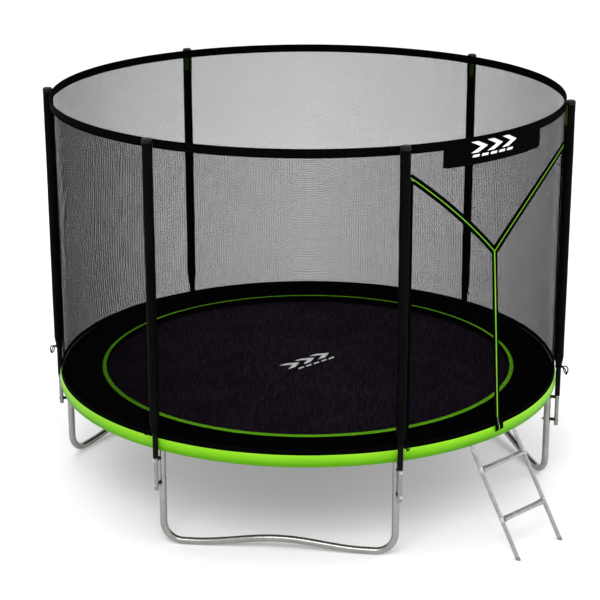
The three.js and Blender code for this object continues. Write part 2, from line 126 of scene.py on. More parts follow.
class Graph:
    """A material's node tree, built with short calls."""

    def __init__(self, name, **sockets):
        self.material = bpy.data.materials.new(name)
        self.material.use_nodes = True
        self.tree = self.material.node_tree
        self.shader = self.tree.nodes["Principled BSDF"]
        for socket, value in sockets.items():
            self.shader.inputs[socket.replace("_", " ")].default_value = value
        self.place = self.node("ShaderNodeTexCoord").outputs["Object"]

    def node(self, kind, inputs=(), **settings):
        made = self.tree.nodes.new(kind)
        for key, value in settings.items():
            setattr(made, key, value)
        for key, value in dict(inputs).items():
            self.feed(made.inputs[key], value)
        return made

    def feed(self, socket, value):
        if isinstance(value, bpy.types.NodeSocket):
            self.tree.links.new(value, socket)
        else:
            socket.default_value = value

    def math(self, operation, *values):
        made = self.node("ShaderNodeMath", operation=operation)
        for socket, value in zip(made.inputs, values):
            self.feed(socket, value)
        return made.outputs[0]

    def stretched(self, scale, turn=0.0):
        inputs = {"Vector": self.place, "Rotation": (0, 0, turn)}
        turned_place = self.node("ShaderNodeMapping", inputs).outputs[0]
        return self.node("ShaderNodeMapping", {"Vector": turned_place, "Scale": scale}).outputs[0]

    def noise(self, scale, detail=4.0, vector=None, roughness=0.55):
        inputs = {"Scale": scale, "Detail": detail, "Roughness": roughness}
        inputs["Vector"] = vector or self.place
        return self.node("ShaderNodeTexNoise", inputs).outputs["Fac"]

    def voronoi(self, scale):
        inputs = {"Scale": scale, "Vector": self.place}
        return self.node("ShaderNodeTexVoronoi", inputs).outputs["Distance"]

    def ramp(self, factor, *stops):
        """Colours along a factor: each stop is (position, colour)."""
        made = self.node("ShaderNodeValToRGB", {"Fac": factor})
        elements = made.color_ramp.elements
        while len(elements) < len(stops):
            elements.new(0.5)
        for element, (position, colour) in zip(elements, stops):
            element.position = position
            element.color = (*colour, 1)
        return made.outputs["Color"]

    def span(self, factor, low, high, out_low, out_high):
        inputs = {
            "Value": factor, "From Min": low, "From Max": high,
            "To Min": out_low, "To Max": out_high,
        }
        return self.node("ShaderNodeMapRange", inputs).outputs[0]

    def blend(self, factor, first, second):
        made = self.node("ShaderNodeMix", data_type="RGBA")
        self.feed(made.inputs["Factor"], factor)
        self.feed(made.inputs["A"], first)
        self.feed(made.inputs["B"], second)
        return made.outputs["Result"]

    def bump(self, height, strength, distance):
        inputs = {"Height": height, "Strength": strength, "Distance": distance}
        self.feed(self.shader.inputs["Normal"], self.node("ShaderNodeBump", inputs).outputs[0])

    def colour(self, value):
        self.feed(self.shader.inputs["Base Color"], value)

    def shades(self, factor, low, high, pale=0.7):
        """Base colour between two colours, along a noise."""
        self.colour(self.ramp(factor, (0.3, low), (pale, high)))

    def rough(self, factor, low, high):
        """Roughness between two values, along a noise."""
        self.feed(self.shader.inputs["Roughness"], self.span(factor, 0.3, 0.7, low, high))

    def axes(self, vector=None):
        return self.node("ShaderNodeSeparateXYZ", {"Vector": vector or self.place}).outputs

    def round_and_up(self):
        """Distance round the trampoline and height, both in metres."""
        parts = self.axes()
        x = self.math("SUBTRACT", parts["X"], CENTRE.x)
        y = self.math("SUBTRACT", parts["Y"], CENTRE.y)
        angle = self.math("ARCTAN2", y, x)
        return self.math("MULTIPLY", angle, NET_RADIUS), parts["Z"]


def grey(value, tint=(1, 1, 1)):
    return tuple(value * t for t in tint)


def galvanised(name, bright):
    g = Graph(name, Metallic=0.85)
    spangle = g.voronoi(90)
    cloud = g.noise(14, 6)
    tint = (1, 1.02, 0.95)
    zinc = g.ramp(cloud, (0.3, grey(0.66 * bright, tint)), (0.7, grey(bright, tint)))
    patch = g.ramp(spangle, (0.0, grey(0.8 * bright, tint)), (0.6, grey(1.1 * bright, tint)))
    g.colour(g.blend(0.35, zinc, patch))
    drawn = g.noise(60, 3, g.stretched((1, 1, 14)))
    g.rough(drawn, 0.17, 0.30)
    g.bump(g.noise(380, 3), 0.10, 0.0005)
    return g.material


def zinc_plated(name, bright):
    g = Graph(name, Metallic=0.95)
    g.shades(g.noise(120, 4), grey(0.67 * bright), grey(bright, (0.98, 1, 1.02)))
    g.rough(g.noise(260, 3), 0.22, 0.4)
    return g.material


def ladder_metal():
    g = Graph("ladder_metal", Metallic=0.55)
    g.shades(g.noise(22, 5), (0.27, 0.27, 0.28), (0.38, 0.38, 0.39))
    g.rough(g.noise(70, 4), 0.27, 0.36)
    g.bump(g.noise(900, 2), 0.02, 0.0003)
    return g.material


def black_paint():
    g = Graph("black_paint", Specular_IOR_Level=0.05)
    g.shades(g.noise(40, 4), grey(0.001), grey(0.003), 0.75)
    g.rough(g.noise(200, 3), 0.32, 0.5)
    g.bump(g.noise(1400, 2), 0.15, 0.0003)
    return g.material


def sleeve_cloth():
    """Black coated cloth over foam, with a fine weave and long soft creases."""
    g = Graph("sleeve_cloth", Specular_IOR_Level=0.018)
    cloud = g.noise(9, 5, g.stretched((1, 1, 0.35)))
    g.shades(cloud, grey(0.0008), grey(0.0032, (1, 1, 1.02)), 0.72)
    g.rough(cloud, 0.42, 0.62)
    weave = g.noise(1500, 2, g.stretched((1, 1, 0.4)))
    crease = g.noise(34, 4, g.stretched((1, 1, 0.12)))
    g.bump(g.math("MULTIPLY_ADD", crease, 3.0, weave), 0.35, 0.0011)
    return g.material


def moulded_black():
    g = Graph("moulded_black", Specular_IOR_Level=0.12)
    g.shades(g.noise(60, 4), grey(0.004), grey(0.009))
    g.rough(g.noise(300, 3), 0.38, 0.55)
    g.bump(g.noise(2200, 2), 0.25, 0.0003)
    return g.material


WEAVE_TURN = math.radians(-41.8)


def woven_mat():
    """Tight polypropylene weave: warp streaks, a fine cross weave and a dusty purple-brown cast."""
    g = Graph("woven_mat", Specular_IOR_Level=0.0)
    streak = g.noise(160, 5, g.stretched((0.05, 1, 1), WEAVE_TURN), 0.75)
    patch = g.noise(3, 4)
    dark = g.ramp(streak, (0.40, (0.0040, 0.0026, 0.0047)), (0.60, (0.0205, 0.0132, 0.0240)))
    pale = g.ramp(streak, (0.40, (0.0060, 0.0042, 0.0068)), (0.60, (0.0275, 0.0184, 0.0310)))
    g.colour(g.blend(g.span(patch, 0.35, 0.65, 0, 1), dark, pale))
    g.rough(streak, 0.6, 0.85)
    parts = g.axes(g.stretched((1, 1, 1), WEAVE_TURN))
    warp, weft = (g.math("SINE", g.math("MULTIPLY", parts[axis], 2600)) for axis in "XY")
    g.bump(g.math("MULTIPLY", warp, weft), 0.2, 0.0004)
    return g.material


def pad_vinyl():
    """Black coated pad cover: nearly smooth, with a leather grain and faint scuffs."""
    g = Graph("pad_vinyl", Specular_IOR_Level=0.0)
    cloud = g.noise(5, 5)
    g.shades(cloud, grey(0.0003), grey(0.0010), 0.75)
    g.rough(g.noise(26, 5), 0.38, 0.56)
    grain = g.voronoi(700)
    ripple = g.noise(12, 3)
    g.bump(g.math("MULTIPLY_ADD", ripple, 5.0, grain), 0.25, 0.0012)
    return g.material


def green_vinyl(name="green_vinyl", bright=1.0):
    """Lime coated cloth, its colour painted deeper towards its lower edge as shade and paler towards its
    top as a highlight.
    """
    g = Graph(name, Specular_IOR_Level=0.1)
    cloud = g.noise(4, 5, g.stretched((1, 1, 3)))
    height = g.math("MULTIPLY_ADD", cloud, 0.02, g.axes()["Z"])

    def shade(red, green, blue):
        return (red * bright, green * bright, blue * bright)

    tall = skirt_high.z - skirt_low.z
    level = g.span(height, skirt_low.z + 0.01, skirt_high.z + 0.01, 0, 1)
    middle_at = 0.03 / tall
    # Colour by height: painted shade darkens the lower edge and the hem, a painted highlight lightens
    # the top edge.
    g.colour(g.ramp(level, (0.0, shade(0.07, 0.26, 0.002)), (middle_at, shade(0.125, 0.40, 0.0035)),
                    (0.72, shade(0.20, 0.53, 0.010)), (1.0, shade(0.29, 0.66, 0.03))))
    g.rough(g.noise(30, 4), 0.36, 0.52)
    weave = g.voronoi(620)
    pucker = g.noise(16, 3, g.stretched((1, 1, 0.4)))
    g.bump(g.math("MULTIPLY_ADD", pucker, 4.0, weave), 0.22, 0.0011)
    return g.material


def webbing(name, low, high, gloss=0.004):
    """Woven tape: fine ribs, matt."""
    g = Graph(name, Specular_IOR_Level=gloss)
    g.shades(g.noise(160, 4), low, high)
    g.rough(g.noise(90, 3), 0.6, 0.85)
    g.bump(g.noise(1300, 2, g.stretched((1, 1, 3))), 0.4, 0.0006)
    return g.material


NET_PITCH = 0.0032
NET_HEAVY = 1.35  # how much wider one thread in five is
NET_GROUP = 5


def net_mesh(name, width):
    """Square polyester mesh, open between its threads; width is a thread's own."""
    g = Graph(name, Specular_IOR_Level=0.0, Roughness=0.8)
    share = width / NET_PITCH
    threads = []
    for part in g.round_and_up():
        place = g.math("MULTIPLY", part, 1 / NET_PITCH)
        group = g.math("FRACT", g.math("MULTIPLY", place, 1 / NET_GROUP))
        heavy = g.math("LESS_THAN", group, 1 / NET_GROUP)
        limit = g.span(heavy, 0, 1, share, share * NET_HEAVY)
        threads.append(g.math("LESS_THAN", g.math("FRACT", place), limit))
    thread = g.math("MAXIMUM", *threads)
    g.feed(g.shader.inputs["Alpha"], g.span(thread, 0, 1, 0.0, 0.93))
    # Where threads cross, the yarn is painted lighter: a painted highlight on the knots.
    knot = g.math("MULTIPLY", *threads)
    yarn = g.ramp(g.noise(30, 3), (0.3, grey(0.0005)), (0.7, grey(0.0016)))
    g.colour(g.blend(knot, yarn, (0.004, 0.004, 0.004, 1)))
    return g.material


def print_white():
    g = Graph("print_white", Specular_IOR_Level=0.3)
    worn = g.noise(180, 5)
    g.colour(g.ramp(worn, (0.32, grey(0.62)), (0.5, grey(0.93))))
    g.rough(worn, 0.75, 0.5)
    g.bump(g.noise(900, 2), 0.2, 0.0003)
    return g.material


def floor_paint():
    g = Graph("floor_paint", Roughness=0.9, Specular_IOR_Level=0.0, Emission_Strength=0.22)
    g.shader.inputs["Emission Color"].default_value = (1, 1, 1, 1)
    g.shades(g.noise(0.6, 3), grey(0.84), grey(0.87))
    return g.material


PLUG = webbing("grey_plug", grey(0.16), grey(0.24), 0.3)
STEEL = galvanised("galvanised", 0.33)
# The lower pole tubes: the legs' galvanised steel painted darker, as painted shade.
SHADED_POLE_STEEL = galvanised("shaded_pole_steel", 0.27)
ZINC = zinc_plated("zinc_plated", 0.63)
DARK_ZINC = zinc_plated("dark_zinc", 0.10)
LADDER = ladder_metal()
PAINT = black_paint()
SLEEVE = sleeve_cloth()
PLASTIC = moulded_black()
MAT = woven_mat()
PAD = pad_vinyl()
GREEN = green_vinyl()
RING_GREEN = webbing("ring_green", (0.17, 0.55, 0.012), (0.23, 0.72, 0.02))
DARK_GREEN = green_vinyl("tab_green", 0.12)
BLACK_TAPE = webbing("black_tape", grey(0.0006), grey(0.0024))
GREEN_TAPE = webbing("green_tape", (0.14, 0.40, 0.016), (0.20, 0.52, 0.030))
CORD = webbing("cord_yarn", grey(0.0012), grey(0.005))
NET = net_mesh("net_mesh", 0.00090)
FRONT_NET = net_mesh("front_net_mesh", 0.00058)  # the door side's mesh is a little more open
PRINT = print_white()

# --- mesh tools


def grid(name, rows, wrap_rows=False, wrap_columns=False, caps=False):
    """A surface through rows of points. Wrapping joins the last to the first; caps close the ends."""
    count, width = len(rows), len(rows[0])
    points = [tuple(p) for row in rows for p in row]
    faces = []
    for i in range(count if wrap_rows else count - 1):
        for j in range(width if wrap_columns else width - 1):
            i2, j2 = (i + 1) % count, (j + 1) % width
            faces.append((i * width + j, i * width + j2, i2 * width + j2, i2 * width + j))
    if caps:
        faces.append(tuple(range(width)))
        faces.append(tuple((count - 1) * width + j for j in range(width)))
    return mesh_object(name, points, faces)


def bar(name, rows):
    """A closed bar through rows of points, each row going round it."""
    return grid(name, rows, wrap_columns=True, caps=True)


def mesh_object(name, points, faces):
    data = bpy.data.meshes.new(name)
    data.from_pydata(points, [], faces)
    made = bpy.data.objects.new(name, data)
    bpy.context.scene.collection.objects.link(made)
    square_up(made)
    return made


def square_up(made):
    """Faces out, doubled points merged, smooth except at sharp edges."""
    work = bmesh.new()
    work.from_mesh(made.data)
    bmesh.ops.remove_doubles(work, verts=work.verts, dist=1e-6)
    bmesh.ops.recalc_face_normals(work, faces=work.faces)
    for face in work.faces:
        face.smooth = True
    for edge in work.edges:
        if len(edge.link_faces) == 2 and edge.calc_face_angle(0) > math.radians(38):
            edge.smooth = False
    work.to_mesh(made.data)
    work.free()


def joined(name, parts):
    """Several objects as one."""
    points, faces = [], []
    for part in parts:
        base = len(points)
        points += [tuple(part.matrix_world @ v.co) for v in part.data.vertices]
        faces += [tuple(base + i for i in face.vertices) for face in part.data.polygons]
        data = part.data
        bpy.data.objects.remove(part)
        bpy.data.meshes.remove(data)
    return mesh_object(name, points, faces)


def dress(piece, body, material, replaces=()):
    """The body it rides on, its material, and the CAD nodes it stands for."""
    piece.data.materials.clear()
    piece.data.materials.append(material)
    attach(piece, body)
    if replaces:
        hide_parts(*replaces)
    return piece


def directions(path, closed=False):
    """The unit tangent at each point of a path."""
    last = len(path) - 1
    found = []
    for i in range(len(path)):
        if closed:
            before, after = path[i - 1], path[(i + 1) % len(path)]
        else:
            before, after = path[max(i - 1, 0)], path[min(i + 1, last)]
        found.append((after - before).normalized())
    return found


def frames(path, closed=False):
    """Two unit vectors across each point of a path, turning as little as possible."""
    tangents = directions(path, closed)
    least = min(range(3), key=lambda k: abs(tangents[0][k]))
    across = tangents[0].cross(Vector([k == least for k in range(3)])).normalized()
    found = []
    for tangent in tangents:
        across = (across - tangent * across.dot(tangent)).normalized()
        found.append((across, tangent.cross(across)))
    return found


def circle(sides):
    """The cosine and sine of equal steps round a circle."""
    turn = [2 * math.pi * k / sides for k in range(sides)]
    return [(math.cos(a), math.sin(a)) for a in turn]


def circles(line, radii, across, sides):
    """A circle of points about each point of a line."""
    return [[point + (u * c + v * s) * r for c, s in circle(sides)]
            for point, r, (u, v) in zip(line, radii, across)]


def sweep(name, path, radius, sides=16, closed=False):
    """A round bar along a path. The radius is one number, or one for each point."""
    radii = radius if hasattr(radius, "__len__") else [radius] * len(path)
    rows = circles(path, radii, frames(path, closed), sides)
    return grid(name, rows, wrap_rows=closed, wrap_columns=True, caps=not closed)


def pipe(name, path, radius, wall, sides=20):
    """A tube along a path, hollow for a short way at both ends, with softened rims."""
    ease, depth = wall * 0.35, 0.03
    steps = directions(path)
    first, last = path[0], path[-1]
    bore = radius - wall
    line = [first + steps[0] * depth, first + steps[0] * ease, first, first, first + steps[0] * ease]
    line += path[1:-1]
    line += [last - steps[-1] * ease, last, last, last - steps[-1] * ease, last - steps[-1] * depth]
    radii = [bore, bore, bore + ease, radius - ease, radius]
    radii += [radius] * (len(path) - 2) + radii[::-1]
    across = frames(path)
    pairs = [across[0]] * 5 + across[1:-1] + [across[-1]] * 5
    return bar(name, circles(line, radii, pairs, sides))


def turned(name, profile, segments, place):
    """A body turned about a placement's +Z from (radius, height) pairs that start and end on it."""
    rows = [[Vector((r * c, r * s, z)) for r, z in profile] for c, s in circle(segments)]
    made = grid(name, rows, wrap_rows=True)
    made.data.transform(place)
    return made


def ring(name, profile, segments=144, ripple=None):
    """A ring round the trampoline from a closed outline of (radius, height) pairs."""
    rows = []
    for k in range(segments):
        degrees = 360 * k / segments
        row = []
        for index, (radius, z) in enumerate(profile):
            out, up = ripple(degrees, index) if ripple else (0, 0)
            row.append(spoke(radius + out, degrees, z + up))
        rows.append(row)
    return grid(name, rows, wrap_rows=True, wrap_columns=True)


def flat_ring(name, inner, outer, low, high, segments=144):
    return ring(name, [(inner, low), (outer, low), (outer, high), (inner, high)], segments)


def arc(radius, start, end, z, steps):
    return [spoke(radius, degrees, z) for degrees in between(start, end, steps)]


def panel(name, columns, radius, thick, bulge=None):
    """A thin curved sheet round the trampoline. Each column is (foot angle, foot z, head angle,
    head z); bulge(u, v) moves a point outwards, u along the columns and v from foot to head."""
    rows = []
    for i, (foot_angle, foot_z, head_angle, head_z) in enumerate(columns):
        u = i / (len(columns) - 1)
        faces = ([], [])
        for v in between(0, 1, 24):
            angle = foot_angle + (head_angle - foot_angle) * v
            z = foot_z + (head_z - foot_z) * v
            out = bulge(u, v) if bulge else 0
            faces[0].append(spoke(radius - thick / 2 + out, angle, z))
            faces[1].append(spoke(radius + thick / 2 + out, angle, z))
        rows.append(faces[0] + faces[1][::-1])
    return bar(name, rows)


def standing(angles, low, high):
    """Upright columns for a panel."""
    return [(a, low, a, high) for a in angles]


def upright(point, bottom, top):
    return [Vector((point.x, point.y, z)) for z in (bottom, top)]


def around(at, radius, angle, z):
    """A point beside an upright axis, at an angle in radians."""
    return Vector((at.x + radius * math.cos(angle), at.y + radius * math.sin(angle), z))


def outward(degrees):
    return spoke(1, degrees, 0) - CENTRE


def sideways(out):
    return Vector((-out.y, out.x, 0))


def between(first, last, steps):
    """Evenly spaced values from first to last."""
    return [first + (last - first) * k / steps for k in range(steps + 1)]


def facing(point, direction):
    """A placement at a point with local +Z along a direction."""
    return Matrix.Translation(point) @ direction.to_track_quat("Z", "Y").to_matrix().to_4x4()


# --- steel frame

JOINT_OFFSET = -6
LEG_PAIRS = {"right": (1, 2), "back": (3, 4), "left": (5, 6)}
LEG_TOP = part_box("leg_right")[1].z
LEG_BEND = 0.115
LEG_FOOT = 0.05
LEG_STRAIGHT = 0.3
HUMP = 0.046
RAIL_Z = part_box("rail_1")[1].z - TUBE
RAIL_GAP = 0.0006  # between neighbouring rails' ends
PEG_LOW, PEG_RADIUS = 0.557, 0.0172


def rails():
    for i in POLES:
        start = POLE_ANGLE[i] + JOINT_OFFSET
        end = POLE_ANGLE[i % 6 + 1] + JOINT_OFFSET
        end += 360 if end < start else 0
        seam = math.degrees(RAIL_GAP / FRAME_RADIUS)
        tube = sweep("tube", arc(FRAME_RADIUS, start + seam, end - seam, RAIL_Z, 40), TUBE, 20)
        peg_at = spoke(FRAME_RADIUS, POLE_ANGLE[i], 0)
        peg = sweep("peg", upright(peg_at, PEG_LOW, RAIL_Z - 0.01), PEG_RADIUS, 20)
        weld = turned("weld", [(0, 0.594), (0.0205, 0.594), (0.0235, 0.600), (0.0195, 0.609),
                               (0, 0.609)], 24, Matrix.Translation(peg_at))
        swage = arc(FRAME_RADIUS, start + seam, start + 1.6, RAIL_Z, 4)
        collar = sweep("collar", swage, [0.0194, 0.0203, 0.0203, 0.0203, 0.0193], 20)
        dress(joined(f"frame_rail_{i}", [tube, peg, weld, collar]), "frame", STEEL, [f"rail_{i}"])
        screw_at = start + 0.9
        head = facing(spoke(FRAME_RADIUS + TUBE, screw_at, RAIL_Z), outward(screw_at))
        screw = turned(f"rail_screw_{i}", [(0, -0.002), (0.0055, -0.002), (0.0055, 0.0015),
                                            (0.003, 0.0035), (0, 0.0038)], 14, head)
        dress(screw, "frame", ZINC)


def leg_path(first, second):
    """The middle line of a U-leg, from one rail peg down, along the ground and up to the next."""
    foot_a = spoke(FRAME_RADIUS, POLE_ANGLE[first], 0)
    foot_b = spoke(FRAME_RADIUS, POLE_ANGLE[second], 0)
    centre = (foot_a + foot_b) / 2
    along = (foot_b - foot_a).normalized()
    half = (foot_b - foot_a).length / 2
    inner = half - LEG_BEND
    flat = inner - LEG_FOOT
    axis = LEG_BEND + LEG_TUBE

    def bend(start, middle_x):
        turn = [math.radians(a) for a in between(start, start + 90, 12)]
        return [(math.cos(a) * LEG_BEND + middle_x, math.sin(a) * LEG_BEND + axis) for a in turn]

    points = [(-half, LEG_TOP), (-half, LEG_STRAIGHT), *bend(180, -inner)]
    for x in between(-flat, flat, 32):
        points.append((x, LEG_TUBE + HUMP / 2 * (1 + math.cos(math.pi * x / flat))))
    points += [*bend(270, inner), (half, LEG_STRAIGHT), (half, LEG_TOP)]
    return [centre + along * x + UP * z for x, z in points]


def legs():
    for side, (first, second) in LEG_PAIRS.items():
        tube = pipe(f"u_leg_{side}", leg_path(first, second), LEG_TUBE, 0.0015, 22)
        dress(tube, "frame", STEEL, [f"leg_{side}"])


def bolts():
    """Hex bolt, washers, nut and the black spacer between leg and pole."""
    reach_in, reach_out = FRAME_RADIUS - LEG_TUBE, FRAME_RADIUS + LEG_TUBE
    pole_out = POLE_RADIUS + POLE_TUBE
    gap = POLE_RADIUS - POLE_TUBE - reach_out
    hexagon = [(0.0068, 0), (0.0075, 0.0006), (0.0075, 0.005), (0.0066, 0.0058)]
    barrel = [(0.0105, -0.002), (0.0108, 0.002), (0.0092, gap / 2), (0.0108, gap - 0.002),
              (0.0105, gap + 0.002)]
    for i in POLES:
        for level in ("low", "high"):
            at = Vector((CENTRE.x, CENTRE.y, middle(f"bolt_{level}_{i}").z))
            place = facing(at, outward(POLE_ANGLE[i]))

            def lathe(name, start, outline, segments):
                profile = [(r, start + h) for r, h in outline]
                ends = [(0, profile[0][1]), *profile, (0, profile[-1][1])]
                return turned(name, ends, segments, place)

            steel = [
                lathe("nut", reach_in - 0.0075, hexagon, 6),
                lathe("tip", reach_in - 0.0125, [(0.003, 0), (0.0039, 0.001), (0.0039, 0.01)], 12),
                lathe("washer", reach_in - 0.0018, [(0.0098, 0), (0.0098, 0.0022)], 20),
                lathe("head", pole_out + 0.0015, hexagon, 6),
                lathe("washer", pole_out - 0.001, [(0.0098, 0), (0.0098, 0.0026)], 20),
                lathe("shank", reach_in - 0.001, [(0.004, 0), (0.004, pole_out - reach_in)], 12),
            ]
            dress(joined(f"pole_bolt_{level}_{i}", steel), "frame", ZINC, [f"bolt_{level}_{i}"])
            spacer = lathe(f"pole_spacer_{level}_{i}", reach_out, barrel, 24)
            dress(spacer, "frame", PLASTIC)


# --- net poles

SLEEVE_LOW, SLEEVE_HIGH = (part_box("foam_sleeve_1")[k].z for k in (0, 1))
SLEEVE_RADIUS = 0.029
SLEEVE_BORE = 0.0166
# The two sleeves beside the front hang a little lower than the others.
SLEEVE_FOOT = {i: SLEEVE_LOW - (0.028 if i in (5, 6) else 0) for i in POLES}


def poles():
    for i in POLES:
        at = middle(f"pole_upper_{i}")
        # The lower tubes' steel is painted darker than the legs', as painted shade.
        for part, radius, wall, material in (("lower", POLE_TUBE, 0.0015, SHADED_POLE_STEEL),
                                             ("upper", 0.016, 0.0016, PAINT)):
            low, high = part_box(f"pole_{part}_{i}")
            tube = pipe(f"pole_tube_{part}_{i}", upright(at, low.z, high.z), radius, wall)
            dress(tube, "frame", material, [f"pole_{part}_{i}"])
        foam_sleeve(i, at)
        pole_cap(i, at)
        pull_tab(i, at)


def foam_sleeve(i, at):
    """A soft tube in a sewn cover: gentle swelling, a lengthwise seam, and a gathered foot."""
    sides = 36
    seam_angle = math.radians(POLE_ANGLE[i] + 155)
    rows = []
    for z in between(SLEEVE_FOOT[i], SLEEVE_HIGH, 110):
        up = z - SLEEVE_FOOT[i]
        rise = min(max((up - 0.012) / 0.062, 0), 1)
        gather = 1 - rise * rise * (3 - 2 * rise) - 0.25 * math.exp(-((up / 0.007) ** 2))
        row = []
        for s in range(sides):
            a = 2 * math.pi * s / sides
            swell = noise.noise(Vector((math.cos(a) * 0.6, math.sin(a) * 0.6 + i * 7, z * 5)))
            crease = noise.noise(Vector((math.cos(a) * 2.5, math.sin(a) * 2.5 + i * 3, z * 26)))
            pleat = math.cos(a * 9 + i) * 0.0016 * gather
            off_seam = abs((a - seam_angle + math.pi) % (2 * math.pi) - math.pi)
            seam = -0.0012 * math.exp(-((off_seam / 0.10) ** 2))
            radius = SLEEVE_RADIUS - 0.0004 + swell * 0.0014 + crease * 0.0007 + seam + pleat
            radius -= 0.0092 * gather
            row.append(around(at, radius, a, z))
        rows.append(row)
    for z in (SLEEVE_HIGH, SLEEVE_FOOT[i]):
        rows.append([Vector((at.x + SLEEVE_BORE * c, at.y + SLEEVE_BORE * s, z))
                     for c, s in circle(sides)])
    sleeve = grid(f"pole_sleeve_{i}", rows, wrap_rows=True, wrap_columns=True)
    dress(sleeve, "frame", SLEEVE, [f"foam_sleeve_{i}"])


def pole_cap(i, at):
    low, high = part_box(f"pole_cap_{i}")
    rim = SLEEVE_HIGH + 0.0008
    top = high.z
    profile = [
        (0, low.z), (0.0122, low.z), (0.0128, low.z + 0.003), (0.0128, rim), (0.0292, rim),
        (0.0297, rim + 0.0015), (0.0297, rim + 0.011), (0.0285, rim + 0.0165),
        (0.0245, top - 0.0028), (0.016, top - 0.0006), (0, top),
    ]
    cap = turned(f"pole_end_cap_{i}", profile, 40, Matrix.Translation((at.x, at.y, 0)))
    dress(cap, "frame", PLASTIC, [f"pole_cap_{i}"])


def pull_tab(i, at):
    """The dark green strip sewn inside each pole top, where the net is tied on."""
    inward = math.radians(POLE_ANGLE[i] + 180)
    top, bottom = SLEEVE_HIGH - 0.004, SLEEVE_HIGH - 0.118
    rows = []
    for k in range(13):
        a = inward + math.radians(-58 + 116 * k / 12)
        edge = 0.0004 * (k in (0, 12))
        row = []
        for radius, order in ((SLEEVE_RADIUS + 0.0004, 1), (SLEEVE_RADIUS + 0.0022 - edge, -1)):
            row += [around(at, radius, a, z) for z in between(bottom, top, 8)[::order]]
        rows.append(row)
    dress(bar(f"pole_pull_tab_{i}", rows), "frame", DARK_GREEN)


TIE_RADIUS = 0.0038
# Each bow's bearing from outwards, in degrees, and how freely it hangs: they are tied by hand.
KNOT_TURN = {1: 0, 2: 30, 3: -30, 4: 0, 5: -55, 6: 35}
KNOT_DROP = {1: 1.0, 2: 0.8, 3: 1.0, 4: 1.0, 5: 0.4, 6: 0.7}


def ties():
    """The cord that gathers each sleeve's foot: two turns, a knot, a loop and a hanging tail."""
    for i in POLES:
        at = middle(f"pole_upper_{i}")
        z = SLEEVE_FOOT[i] + 0.005
        turns = []
        for k in range(41):
            a = math.radians(POLE_ANGLE[i] + 720 * k / 40)
            radius = 0.0208 + 0.0006 * math.sin(3 * a)
            turns.append(around(at, radius, a, z + 0.0042 * k / 40))
        dress(sweep(f"tie_wrap_{i}", turns, 0.0021, 8), "frame", CORD)
        out = outward(POLE_ANGLE[i] + KNOT_TURN[i])
        side = sideways(out)
        start = Vector((at.x, at.y, z)) + out * 0.0245
        knot = turned(f"tie_knot_{i}", [(0, -0.007), (0.0045, -0.006), (0.0072, -0.001),
                                        (0.0066, 0.0035), (0.003, 0.0062), (0, 0.0066)], 12,
                      Matrix.Translation(start))
        dress(knot, "frame", CORD)
        turn = (i % 3 - 1) * 0.004
        lace = [(0.003, 0.001, 0.001), (0.016, 0.003, 0.003), (0.030, 0.004 + turn, -0.006),
                (0.033, 0.003 + turn, -0.026), (0.024, 0.001, -0.046), (0.013, -0.002, -0.034),
                (0.006, -0.003, -0.012), (0.002, -0.006, -0.002), (0.009, -0.011, -0.004),
                (0.018, -0.013, -0.013), (0.025, -0.014 - turn, -0.030),
                (0.028, -0.013 - turn, -0.047)]
        drop = KNOT_DROP[i]
        line = [start + out * a + side * b + Vector((0, 0, c * drop)) for a, b, c in lace]
        line = smooth(line, 6)
        cord = sweep(f"tie_tail_{i}", line, TIE_RADIUS, 8)
        dress(cord, "frame", CORD)


def smooth(points, steps):
    """A Catmull-Rom line through the points."""
    ends = [points[0] * 2 - points[1], *points, points[-1] * 2 - points[-2]]
    line = []
    for a, b, c, d in zip(ends, ends[1:], ends[2:], ends[3:]):
        for t in between(0, 1, steps)[:-1]:
            line.append(0.5 * (2 * b + (c - a) * t + (2 * a - 5 * b + 4 * c - d) * t * t
                               + (3 * b - a - 3 * c + d) * t ** 3))
    return [*line, points[-1]]


# --- mat and springs

SPRING_COUNT = 54
SPRING_Z = 0.62
SPRING_IN, SPRING_OUT = 1.352, 1.5065
SPRING_WIRE = 0.0016
MAT_EDGE = (1.298, 1.3385)


def jump_mat():
    """The woven bed, its sewn edge webbing and stitches; the printed mark in its middle is made by
    mat_mark.
    """
    low = mat_low.z
    rows = []
    for k in range(96):
        degrees = 360 * k / 96
        row = []
        for radius, z in ((0.45, low), (0.9, low), (1.28, low), (MAT_RADIUS - 0.001, low),
                          (MAT_RADIUS, MAT_TOP - 0.0015), (MAT_RADIUS - 0.001, MAT_TOP),
                          (1.28, MAT_TOP), (0.9, MAT_TOP), (0.45, MAT_TOP)):
            row.append(spoke(radius, degrees, z))
        rows.append([spoke(0, 0, low), *row, spoke(0, 0, MAT_TOP)])
    bed = grid("jump_bed", rows, wrap_rows=True)
    dress(bed, "mat", MAT, ["jump_mat"])
    for side, z in (("top", MAT_TOP + 0.0002), ("under", low - 0.0016)):
        dress(flat_ring(f"mat_edge_{side}", *MAT_EDGE, z, z + 0.0014), "mat", BLACK_TAPE)
    for number, radius in enumerate((1.303, 1.318, 1.333), 1):
        seam = ring(f"mat_stitch_{number}", [(radius - 0.0006, MAT_TOP + 0.0014),
                                            (radius + 0.0006, MAT_TOP + 0.0014),
                                            (radius, MAT_TOP + 0.0024)], 180)
        dress(seam, "mat", CORD)


MARK_TURN = math.radians(-5)


def mark(name, centre, across, up, shapes, lift):
    """Thin printed shapes, each made of (left, right, height) rows in the plane of two directions."""
    out = across.cross(up).normalized()
    parts = []
    for shape in shapes:
        rows = []
        for left, right, y in shape:
            ends = ((left, 0.0001), (right, 0.0001), (right, lift), (left, lift))
            rows.append([centre + across * x + up * y + out * h for x, h in ends])
        parts.append(bar("part", rows))
    return joined(name, parts)


def slanted(x, y, wide, tall, lean):
    return [(x, x + wide, y), (x + lean, x + lean + wide, y + tall)]


def chevron(x, y, wide, tall, thick):
    """An arrowhead band that points along +x."""
    rows = []
    for k in range(13):
        t = k / 12
        left = x + wide * (1 - abs(2 * t - 1))
        rows.append((left, left + thick, y + tall * t))
    return rows


